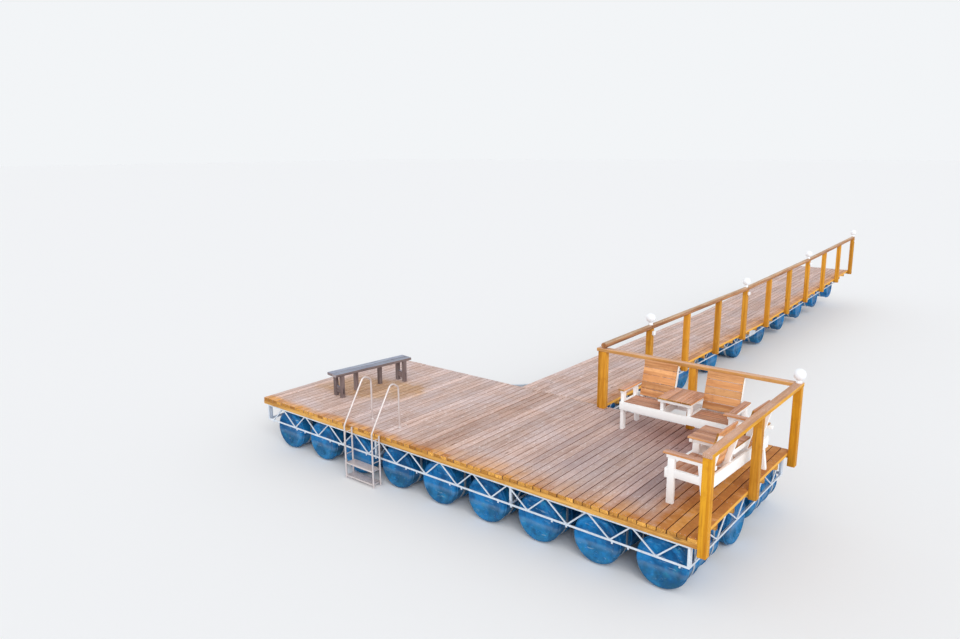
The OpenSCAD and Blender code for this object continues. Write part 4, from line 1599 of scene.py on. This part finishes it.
@dataclass
class Ladder:
    """Swimming ladder: two bent tube sides, brackets, foot flanges and treads."""

    left: float = 2.1
    width: float = 0.555
    tube_d: float = 0.026
    rung_d: float = 0.014
    out: float = 0.15
    grab_z: float = 0.69
    grab_y: float = 0.38
    grab_fall: float = 0.09
    elbow_y: float = 0.63 * grab_y
    elbow_z: float = 0.06
    behind: float = 0.006
    foot_up: float = 0.03
    bend: float = 0.07
    clear: float = 0.012
    bolt_reach: float = 0.021
    bolt: Profile = ((0.003, 0.004), (0.003, 0.0075), (0.002, 0.009))
    rear_top: float = -0.004
    stay_t: float = 0.012
    tread_t: float = 0.022
    tread_pitch: float = 0.19
    ribs: int = 9

    @property
    def back(self) -> float:
        """Y of the rear tubes."""
        return -self.tube_d / 2 - self.behind

    @property
    def low(self) -> float:
        """Height of the ladder's foot."""
        return SIZES.floor_z + self.clear

    def build(self) -> None:
        """Builds the ladder."""
        sides = [*self._side(self.left), *self._side(self.left + self.width)]
        tubes = moved(joined(sides, "ladder_tubes"), level())
        publish(tubes, Finish.STAINLESS, "ladder_sides")
        publish(self._treads(), Finish.STAINLESS, "ladder_treads")

    def _side(self, x: float) -> list[Piece]:
        """Builds the tubes, rungs, stays, flange and bolts of one side.

        Args:
            x: Construction X of the side.

        Returns:
            Its parts.
        """
        back, low, out, thick = self.back, self.low, -self.out, self.tube_d
        stay_z = SIZES.joist_z - SIZES.truss_h + SIZES.chord / 2
        corners = [
            (x, out, low), (x, out, self.elbow_z), (x, self.elbow_y, self.grab_z),
            (x, self.grab_y, self.grab_z - self.grab_fall), (x, self.grab_y, 0.0),
        ]
        parts = [tube(bent_path(corners, self.bend), thick)]
        parts.append(tube([(x, back, low), (x, back, self.rear_top)], thick))
        for z in (-SIZES.board_t / 2 - thick, stay_z - thick):
            parts.append(tube([(x, out, z), (x, back, z)], self.rung_d))
        for z, end in ((-SIZES.board_t / 2, 0.0), (stay_z, SIZES.inset_front)):
            stay = (self.rung_d, end - back, self.stay_t)
            parts.append(block(stay, (x, (end + back) / 2, z)))
        r = thick * 0.95
        flange = [(r, 0.0), (r, 0.004), (r - 0.003, 0.006), (thick * 0.62, 0.006),
                  (thick * 0.56, 0.014), (thick * 0.5, 0.016)]
        parts.append(moved(turned(flange, 32, 30.0), shift(x, self.grab_y, 0.0)))
        for a in map(radians, (45, 135, 225, 315)):
            at = (x + self.bolt_reach * cos(a), self.grab_y + self.bolt_reach * sin(a), 0.0)
            parts.append(moved(turned(self.bolt, 6), shift(*at)))
        return parts

    def _treads(self) -> Piece:
        """Builds the treads with raised anti-slip ribs.

        Returns:
            The new object, in its place.
        """
        wide, deep = self.width - self.tube_d, self.out + self.back + self.tube_d
        x, y = self.left + self.width / 2, -self.out - self.tube_d / 2 + deep / 2
        treads = []
        for k in range(2):
            z = self.low + self.foot_up + k * self.tread_pitch + self.tread_t / 2
            treads.append(block((wide, deep, self.tread_t), (x, y, z), 0.004))
            first = (x, y - deep * 0.4, z + self.tread_t / 2 + 0.0005)
            rib = block((wide * 0.94, 0.006, 0.003), first, 0.001)
            treads.append(repeated(rib, (self.ribs, (0.0, deep * 0.1, 0.0))))
        return moved(joined(treads, "ladder_steps", 35.0), level())


@dataclass(kw_only=True)
class Bench(Joinery):
    """Greyed bench of two planks on six legs."""

    seed: int = 31
    length: float = 1.48
    width: float = 0.25
    height: float = 0.4
    turn: float = -8.0
    middle: Pair = (1.005, SIZES.deck_depth * 0.469)
    plank_gap: float = 0.01
    top_t: float = 0.11 * height
    leg: float = 0.24 * width
    out: float = 0.48 * width
    end: float = length / 2 - 0.088 * length
    brace: Pair = (0.15 * height, 0.42 * height)
    top_edge: float = 0.006
    leg_edge: float = 0.004
    warp: float = 0.002

    def make(self) -> None:
        """Builds the bench."""
        base = level() @ shift(*self.middle, 0.0) @ spin(self.turn, "Z")
        half, leg = (self.width - self.plank_gap) / 2, self.leg
        for side in (-1.0, 1.0):
            middle = (side * (half + self.plank_gap) / 2, 0.0, self.height - self.top_t / 2)
            size = (self.length, half, self.top_t)
            self.lay(size, across(base, middle, 90.0), Finish.BENCH, self.top_edge, self.warp)
        self.join("bench_planks", "bench_grey", "bench_top")
        (low, high), inner, nearer = self.brace, self.out - leg / 2, self.end / 2.6
        for y in (-self.end, self.end):
            for x in (-inner, inner):
                self._leg(base, x, y)
            brace = base @ shift(0.0, y, (low + high) / 2) @ spin(90.0, "X")
            self.lay((2 * self.out, high - low, leg / 2), brace, Finish.BENCH)
        for y in (-nearer, nearer):
            self._leg(base, -inner, y)
        self.join("bench_posts", "bench_grey", "bench_legs")

    def _leg(self, base: Matrix, x: float, y: float) -> None:
        """Sets up a square leg at a place of the bench."""
        size = (self.height - self.top_t, self.leg, self.leg)
        self.lay(size, upright(base, (x, y, size[0] / 2)), Finish.BENCH, self.leg_edge)


@dataclass(kw_only=True)
class DoubleSeat(Joinery):
    """A double garden seat with a table between its seats: white frame, brown planks."""

    name: str
    corner: Pair
    turn: float
    width: float = 1.6
    seat_h: float = 0.405
    arm_h: float = 0.594
    depth: float = 0.366
    back_h: float = 0.905
    back_lean: float = 0.128
    table_w: float = 0.47
    plank_t: float = 0.022
    apron_h: float = 0.11
    apron_t: float = 0.034
    leg_w: float = 0.045
    leg_d: float = 0.08
    rear_leg_d: float = 0.076
    rear_leg_lean: float = 0.145
    side_rail_h: float = 0.09
    arm_rail_h: float = 0.042
    arm_w: float = 0.088
    arm_rail_back: float = 0.54
    arm_rail_ahead: float = 0.018
    stile: float = 0.065
    stile_w: float = 0.038
    stile_top: float = 0.872
    plank_over: float = 0.057
    end_over: float = 0.012
    back_in: float = 0.1
    back_rows: int = 5
    seat_rows: int = 4
    table_over: float = 0.022
    rear_up: float = 0.025
    rear_down: float = 0.005
    rear_leg_gap: float = 0.058
    arm_behind: float = 0.13
    strip_short: float = 0.01
    back_above: float = 0.015
    seat_gap: float = 0.006
    plank_gap: float = 0.004
    inset: float = 0.0005

    # Worked out from the sizes above
    arm_z: float = arm_h - plank_t
    shoulder: float = arm_z - arm_rail_h
    table_x: float = (width - table_w) / 2
    inner_x: float = table_x + table_over
    inner_w: float = width - 2 * inner_x
    back_w: float = inner_x - back_in - SIZES.fit
    backs: Pair = (back_in, width - back_in - back_w)

    def __post_init__(self) -> None:
        """Places the seat on the deck."""
        super().__post_init__()
        self.base = level() @ shift(*self.corner, 0.0) @ spin(self.turn, "Z")
        self.rear_y = self.back_y(self.seat_h + self.rear_up) + self.plank_t + self.stile

    def back_y(self, z: float) -> float:
        """Front face of the back planks at a height."""
        return self.depth + (z - self.seat_h) * self.back_lean / (self.back_h - self.seat_h)

    def _box(self, low: Point, size: Point, finish: Finish = Finish.PAINT) -> None:
        """Lays a board whose sides follow the seat's axes.

        Args:
            low: Its lowest corner.
            size: Its sizes along X, Y and Z.
            finish: Its finish.
        """
        wide, deep, high = size
        choices = (
            (size, Matrix.Identity(4)), ((deep, wide, high), spin(90.0, "Z")),
            ((high, deep, wide), spin(-90.0, "Y")),
        )
        cut, turn = choices[max(range(3), key=lambda k: size[k])]
        middle = (a + b / 2 for a, b in zip(low, size))
        self.lay(cut, self.base @ shift(*middle) @ turn, finish)

    def _slant(self, x: float, ends: tuple[Pair, Pair], size: Pair) -> None:
        """Lays a slanting white board in a side plane, cut level at both ends.

        Args:
            x: Its left face.
            ends: Y and Z of the middles of its level ends.
            size: Its width along Y and its thickness along X.
        """
        a, b = Vector(ends[0]), Vector(ends[1])
        run = b - a
        middle = (x + size[1] / 2, (a.x + b.x) / 2, (a.y + b.y) / 2)
        place = upright(self.base, middle, degrees(atan2(run.x, run.y)))
        cut = (run.length + 2 * size[0], size[0] * run.y / run.length, size[1])
        trims = [
            (self.base @ Vector((0.0, 0.0, end.y)), Vector((0.0, 0.0, side)))
            for end, side in ((a, -1.0), (b, 1.0))
        ]
        self.lay(cut, place, Finish.PAINT, trims=trims)

    def make(self) -> None:
        """Builds the seat."""
        last = self.width - self.leg_w
        foot = self.depth + self.rear_leg_gap + self.rear_leg_d / 2
        rear_leg = ((foot, 0.0), (foot - self.rear_leg_lean * self.shoulder, self.shoulder))
        for x in (0.0, last):
            self._slant(x, rear_leg, (self.rear_leg_d, self.leg_w))
            self._side(x, 0.0, self.arm_rail_ahead, self.arm_rail_back)
        for x in (self.inner_x, last - self.inner_x):
            self._side(x, self.seat_h, 0.0, self.rear_y)
        self._boards()
        self._stiles()
        self.join(f"{self.name}_painted_frame", "white_paint", f"{self.name}_frame")
        self._planks()
        for x in self.backs:
            self._back(x)
        self.join(f"{self.name}_brown_planks", "seat_plank", f"{self.name}_planks")

    def _side(self, x: float, foot: float, ahead: float, back: float) -> None:
        """Joins a front leg, a side rail and an upper rail.

        Args:
            x: Left face of the frame.
            foot: Height of the leg's foot.
            ahead: How far the upper rail starts before the leg.
            back: Rear end of the upper rail.
        """
        self._box((x, 0.0, foot), (self.leg_w, self.leg_d, self.shoulder - foot))
        start = self.leg_d if foot == 0 else 0.0
        low = (x + self.inset, start, self.seat_h - self.side_rail_h)
        self._box(low, (self.leg_w - 2 * self.inset, self.rear_y - start, self.side_rail_h))
        self._box((x, -ahead, self.shoulder), (self.leg_w, back + ahead, self.arm_rail_h))

    def _boards(self) -> None:
        """Lays the boards in front of the seat and behind it, and the table's."""
        t, rail, under = self.apron_t, self.arm_rail_h, self.seat_h - self.apron_h
        self._box((0.0, -t, under), (self.width, t, self.apron_h))
        rear_h = self.apron_h + self.rear_down + self.rear_up
        self._box((0.0, self.rear_y, under - self.rear_down), (self.width, t, rear_h))
        self._box((self.table_x, -t, self.shoulder), (self.table_w, t, rail))
        low = (self.inner_x, self.rear_y, self.arm_z - 1.5 * rail)
        self._box(low, (self.inner_w, t, 1.5 * rail))

    def _stiles(self) -> None:
        """Sets up the stiles behind both backs."""
        half = self.plank_t + self.stile / 2
        heights = (self.seat_h - self.apron_h - self.rear_down, self.stile_top)
        low, high = ((self.back_y(z) + half, z) for z in heights)
        for x0 in self.backs:
            for x in (x0, x0 + self.back_w - self.stile_w):
                self._slant(x, (low, high), (self.stile, self.stile_w))

    def _planks(self) -> None:
        """Lays the planks of seats, arms and table."""
        t, over, arm_z = self.plank_t, self.plank_over, self.arm_z
        bay, right = self.inner_x - self.leg_w, self.width - self.inner_x
        for x in (self.leg_w, right):
            self._row((x, 0.0, self.seat_h - t), (bay, self.depth), self.seat_gap, False)
        long = self.depth + self.arm_behind + over
        for x in (-self.end_over, self.width + self.end_over - self.arm_w):
            self._box((x, -over, arm_z), (self.arm_w, long, t), Finish.PLANK)
        self._row((self.inner_x, -over, arm_z), (self.inner_w, long), self.plank_gap, True)
        short = over + self.back_y(arm_z) - self.strip_short
        for x in (self.table_x, right):
            self._box((x, -over, arm_z), (self.table_over, short, t), Finish.PLANK)

    def _back(self, x: float) -> None:
        """Lays the planks of one back.

        Args:
            x: Its left side.
        """
        rows, gap, above = self.back_rows, self.plank_gap, self.seat_h + self.back_above
        lean = atan2(self.back_lean, self.back_h - self.seat_h)
        thick = self.plank_t * cos(lean)
        each = ((self.back_h - above) / cos(lean) - (rows - 1) * gap) / rows
        foot = self.base @ shift(x, self.back_y(above) + self.plank_t, above)
        frame = foot @ spin(-degrees(lean), "X")
        for i in range(rows):
            place = frame @ shift(self.back_w / 2, -thick / 2, i * (each + gap) + each / 2)
            self.lay((self.back_w, each, thick), place @ spin(90.0, "X"), Finish.PLANK)

    def _row(self, low: Point, size: Pair, gap: float, lengthwise: bool) -> None:
        """Lays level planks side by side.

        Args:
            low: Lowest corner of the first one.
            size: Sizes of the whole along X and Y.
            gap: Gap between two of them.
            lengthwise: Whether they run along Y instead of X.
        """
        (x, y, z), (wide, deep) = low, size
        each = ((wide if lengthwise else deep) - (self.seat_rows - 1) * gap) / self.seat_rows
        for i in range(self.seat_rows):
            at = i * (each + gap)
            if lengthwise:
                self._box((x + at, y, z), (each, deep, self.plank_t), Finish.PLANK)
            else:
                self._box((x, y + at, z), (wide, each, self.plank_t), Finish.PLANK)


@dataclass
class Trusses:
    """Lattice trusses: angle-iron chords, end posts and zigzag bars with their welds."""

    leg: float = 0.025
    thick: float = 0.004
    post: float = 0.028
    bar: float = 0.019
    pitch: float = 0.547
    run: float = 0.254
    margin: float = 0.12
    bar_in: float = 0.009
    lug_at: Pair = (-0.357, 0.228)
    bolt_ys: Sequence[float] = (-0.165, -0.06, 0.06, 0.165)
    bolt_in: float = 0.014
    lug: Point = (0.022, 0.005, 0.036)
    lug_y: float = 0.007
    lug_drop: float = 0.008
    lug_bolt: Profile = ((0.007, 0.0), (0.007, 0.004), (0.005, 0.006))
    joint_bolt: Profile = (
        (0.012, -0.001), (0.012, 0.002), (0.009, 0.002), (0.009, 0.008), (0.006, 0.01),
    )
    clear: float = 0.0005

    def build(self) -> None:
        """Builds all trusses."""
        near = SIZES.inset_front + SIZES.chord
        far = SIZES.deck_depth - near
        wide, deep = SIZES.deck_len - 2 * SIZES.inset_side, far - near
        front, back = (level() @ shift(SIZES.inset_side, y, 0.0) for y in (SIZES.inset_front, far))
        self._publish("front", [(front, wide, False)], self._lugs(front))
        self._publish("back", [(back, wide, True)])
        edges = (SIZES.inset_side + SIZES.chord, SIZES.deck_len - SIZES.inset_side)
        inner = [SIZES.drum_left + k * SIZES.drum_pitch + SIZES.chord / 2 for k in (2.5, 5.5)]
        for name, xs in (("left", edges[:1]), ("right", edges[1:]), ("cross", inner)):
            places = [(self._along(level(), x, near), deep, name == "left") for x in xs]
            self._publish(name, places)
        out = (SIZES.gang_w - SIZES.drum_len) / 2 - SIZES.drum_gap
        left, right = SIZES.gang_x + out, SIZES.gang_right - out + SIZES.chord
        start = SIZES.deck_depth - SIZES.inset_front
        long = SIZES.ramp_y - SIZES.joint_gap / 2 - start
        short = SIZES.gang_len - SIZES.joint_gap / 2 - SIZES.inset_front
        for name, matrix, low, length in (
            ("gangway", level(), start, long), ("shore", ramp(), SIZES.joint_gap / 2, short),
        ):
            for side, x in (("left", left), ("right", right)):
                place = self._along(matrix, x, low)
                self._publish(f"{name}_{side}", [(place, length, side == "left")])
        self._bolts(left - SIZES.chord, right)

    @staticmethod
    def _along(matrix: Matrix, x: float, y: float) -> Matrix:
        """Matrix of a truss that runs along Y, its right face at x."""
        return matrix @ shift(x, y, 0.0) @ spin(90.0, "Z")

    def _publish(
        self,
        name: str,
        trusses: Sequence[tuple[Matrix, float, bool]],
        extra: Sequence[Piece] = (),
    ) -> None:
        """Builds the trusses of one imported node.

        Args:
            name: Name of the truss.
            trusses: Matrix, length and whether the outer side is at the far face, of each.
            extra: Parts that are already in place.
        """
        parts = [moved(self._truss(length, far), matrix) for matrix, length, far in trusses]
        node = "cross_trusses" if name == "cross" else f"{name}_truss"
        whole = joined([*extra, *parts], f"{name}_lattice", 35.0)
        publish(whole, Finish.GALVANIZED, node)

    def _iron(self, length: float, z: float, up: float, far: bool) -> Piece:
        """Builds an angle iron along X.

        Args:
            length: Its length.
            z: Height of its flat leg's outer face.
            up: 1 where its other leg stands up, -1 where it hangs down.
            far: Whether that leg is at the far face.

        Returns:
            The new object.
        """
        deep, t, leg = SIZES.chord, self.thick, self.leg
        outline = [(0.0, 0.0), (deep, 0.0), (deep, t), (t, t), (t, leg), (0.0, leg)]
        take()
        bpy.ops.mesh.primitive_circle_add(vertices=6, radius=deep, fill_type="NGON")
        iron = bpy.context.object
        for vertex, (y, high) in zip(iron.data.vertices, outline):
            vertex.co = (0.0, deep - y if far else y, z + up * high)
        with editing(iron):
            run = (length, 0.0, 0.0)
            bpy.ops.mesh.extrude_region_move(TRANSFORM_OT_translate={"value": run})
        tidy_mesh(iron)
        return iron

    def _bar(self, run: float, rise: float) -> Piece:
        """Builds a round web bar from the origin, with a weld at each end.

        Args:
            run: How far it reaches along X.
            rise: How far it reaches up.

        Returns:
            The new object.
        """
        length, r = hypot(run, rise), self.bar / 2
        weld = [(r, 0.0), (r, 0.009), (r * 1.5, 0.012), (r * 1.4, 0.019), (r, 0.025)]
        bar = turned([*weld, *((w, length - z) for w, z in reversed(weld))], 8)
        return moved(bar, spin(degrees(atan2(run, rise)), "Y"))

    def _truss(self, length: float, far: bool) -> Piece:
        """Builds one truss from x = 0, under the joists.

        Args:
            length: Its length.
            far: Whether its outer side is at the far face.

        Returns:
            The new object.
        """
        top, low = SIZES.joist_z, SIZES.joist_z - SIZES.truss_h
        parts = [self._iron(length, top, -1.0, far), self._iron(length, low, 1.0, far)]
        size = (self.post, SIZES.chord - 2 * self.clear, SIZES.truss_h - 4 * self.clear)
        inset = self.post / 2 + self.clear
        for x in (inset, length - inset):
            parts.append(block(size, (x, SIZES.chord / 2, (top + low) / 2)))
        free = length - 2 * self.margin - self.run
        count = max(1, round(free / self.pitch))
        step, rise = free / count, SIZES.truss_h - 2 * self.bar_in
        depth = self.thick + self.bar / 2
        y = SIZES.chord - depth if far else depth
        rising, falling = self._bar(self.run, rise), self._bar(step - self.run, -rise)
        for i in range(count + 1):
            x = self.margin + i * step
            parts.append(copied(rising, shift(x, y, low + self.bar_in)))
            if i < count:
                parts.append(copied(falling, shift(x + self.run, y, top - self.bar_in)))
        discard(rising, falling)
        return joined(parts, "truss")

    def _lugs(self, matrix: Matrix) -> list[Piece]:
        """Builds the strap lugs under the front truss, two at each drum, with their bolts.

        Args:
            matrix: Matrix of the truss.

        Returns:
            The lugs.
        """
        low = SIZES.joist_z - SIZES.truss_h
        plate = block(self.lug, (0.0, self.lug_y, low - self.lug_drop), 0.0015)
        front = self.lug_y - self.lug[1] / 2 + 0.0001
        place = shift(0.0, front, low - 2 * self.lug_drop) @ spin(90.0, "X")
        bolt = moved(turned(self.lug_bolt, 6), place)
        lug = joined([plate, bolt], "lug")
        places = [x - SIZES.inset_side + at for x in SIZES.drum_axes for at in self.lug_at]
        lugs = [copied(lug, matrix @ shift(x, 0.0, 0.0)) for x in places]
        discard(lug)
        return lugs

    def _bolts(self, left: float, right: float) -> None:
        """Sets the bolts of the plates that join the two lengths of gangway.

        Args:
            left: X of the left truss's outer face.
            right: X of the right truss's outer face.
        """
        bolt = turned(self.joint_bolt, 6, 30.0)
        heights = (SIZES.joist_z - self.bolt_in, SIZES.joist_z - SIZES.truss_h + self.bolt_in)
        bolts = [
            copied(bolt, level() @ shift(x, SIZES.ramp_y + y, z) @ spin(turn, "Y"))
            for x, turn in ((left - SIZES.plate_t, -90.0), (right + SIZES.plate_t, 90.0))
            for y in self.bolt_ys
            for z in heights
        ]
        discard(bolt)
        publish(joined(bolts, "joint_bolts"), Finish.ZINC)


@dataclass
class SteelFrame:
    """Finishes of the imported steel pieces."""

    frame: dict[str, object]

    def build(self) -> None:
        """Dresses the steel."""
        for node, obj in self.frame["nodes"].items():
            if node.endswith("bearers") or node in ("corner_braces", "joint_plates"):
                self._paint(obj, Finish.GALVANIZED)
            elif node.endswith("straps"):
                self._paint(obj, Finish.STRAP)

    @staticmethod
    def _paint(obj: Piece, finish: Finish) -> None:
        """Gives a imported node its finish."""
        dress(obj, finish)
        LOG.info("%s: finish %s", obj.name, finish.value.name)


# Studio


@dataclass
class Studio:
    """Floor, light and camera."""

    lens: float = 28.01
    sensor: float = 36.0
    eye: Point = (9.8, -6.587, 3.79)
    yaw: float = -39.16
    pitch: float = 12.73
    roll: float = 0.384
    far_clip: float = 500.0
    sky: Colour = (0.96, 0.98, 1.0)
    horizon: float = 1.44
    zenith: float = 0.45
    backdrop: float = 0.93
    lamp: float = 1.2
    lamp_spread: float = 40.0
    lamp_colour: Colour = (1.0, 0.98, 0.94)
    lamp_from: Point = (0.75, -0.6, 0.72)
    floor: Colour = (0.9, 0.904, 0.92)
    floor_size: float = 600.0

    def build(self) -> None:
        """Sets up the studio."""
        self._floor()
        self._sky()
        self._lamp()
        self._camera()
        bpy.context.scene.view_settings.view_transform = "Standard"

    def _floor(self) -> None:
        """Lays a pale floor under the drums."""
        take()
        bpy.ops.mesh.primitive_plane_add(size=self.floor_size, location=(0.0, 0.0, 0.0))
        floor = bpy.context.object
        floor.name = "floor"
        floor.data.materials.append(Sheet("floor").dress(self.floor, 0.9, specular=0.0))

    def _sky(self) -> None:
        """Makes a sky that is brighter near the horizon, and plain where it is seen."""
        world = bpy.data.worlds.new("studio")
        bpy.context.scene.world = world
        world.use_nodes = True
        tree = Tree(world.node_tree)
        height = tree.axis(tree.value("ShaderNodeTexCoord", output="Generated"), "Z")
        ends = {0: height, 1: 0.0, 2: 1.0, 3: self.horizon, 4: self.zenith}
        light = tree.value("ShaderNodeMapRange", ends)
        path = tree.node("ShaderNodeLightPath").outputs
        rays = (Value(tree, path[f"Is {kind} Ray"]) for kind in ("Glossy", "Transmission"))
        seen = Value(tree, path["Is Camera Ray"]).greatest(*rays)
        strength = tree.value("ShaderNodeMix", {0: seen, 2: light, 3: self.backdrop}, data_type="FLOAT")
        background = world.node_tree.nodes["Background"].inputs
        tree.feed(background["Color"], self.sky)
        tree.feed(background["Strength"], strength)

    def _lamp(self) -> None:
        """Hangs one large lamp on the right."""
        lamp = bpy.data.lights.new("key", "SUN")
        lamp.energy, lamp.angle = self.lamp, radians(self.lamp_spread)
        lamp.color = self.lamp_colour
        key = bpy.data.objects.new("key", lamp)
        key.rotation_euler = Vector(self.lamp_from).to_track_quat("Z", "Y").to_euler()
        bpy.context.scene.collection.objects.link(key)

    def _camera(self) -> None:
        """Places the camera, at the photograph's place and angle."""
        yaw, pitch, roll = (radians(v) for v in (self.yaw, self.pitch, self.roll))
        ahead = Vector((sin(yaw) * cos(pitch), cos(yaw) * cos(pitch), -sin(pitch)))
        right = Vector((cos(yaw), -sin(yaw), 0.0))
        down = ahead.cross(right)
        side = cos(roll) * right + sin(roll) * down
        under = -sin(roll) * right + cos(roll) * down
        turn = Matrix((side, -under, -ahead)).transposed()
        data = bpy.data.cameras.new("camera")
        data.sensor_width, data.lens, data.clip_end = self.sensor, self.lens, self.far_clip
        camera = bpy.data.objects.new("camera", data)
        camera.matrix_world = Matrix.Translation(Vector(self.eye) + origin()) @ turn.to_4x4()
        bpy.context.scene.collection.objects.link(camera)
        bpy.context.scene.camera = camera


def main() -> None:
    """Builds the jetty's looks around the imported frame."""
    logging.basicConfig(level=logging.INFO, format="%(name)s %(message)s")
    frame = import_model()
    back_corner = (SIZES.deck_len - 2.097, SIZES.deck_depth - 0.695)
    right_corner = (SIZES.deck_len - 0.538, SIZES.deck_depth - 0.775)
    for assembly in (
        Studio(), Decks(), Floats(), SteelFrame(frame), Trusses(), Rails(), Lamps(), Ladder(),
        Bench(), DoubleSeat(name="back_seat", corner=back_corner, turn=0.0, seed=41),
        DoubleSeat(name="right_seat", corner=right_corner, turn=-92.6, seed=43),
    ):
        assembly.build()


if __name__ == "__main__":
    main()
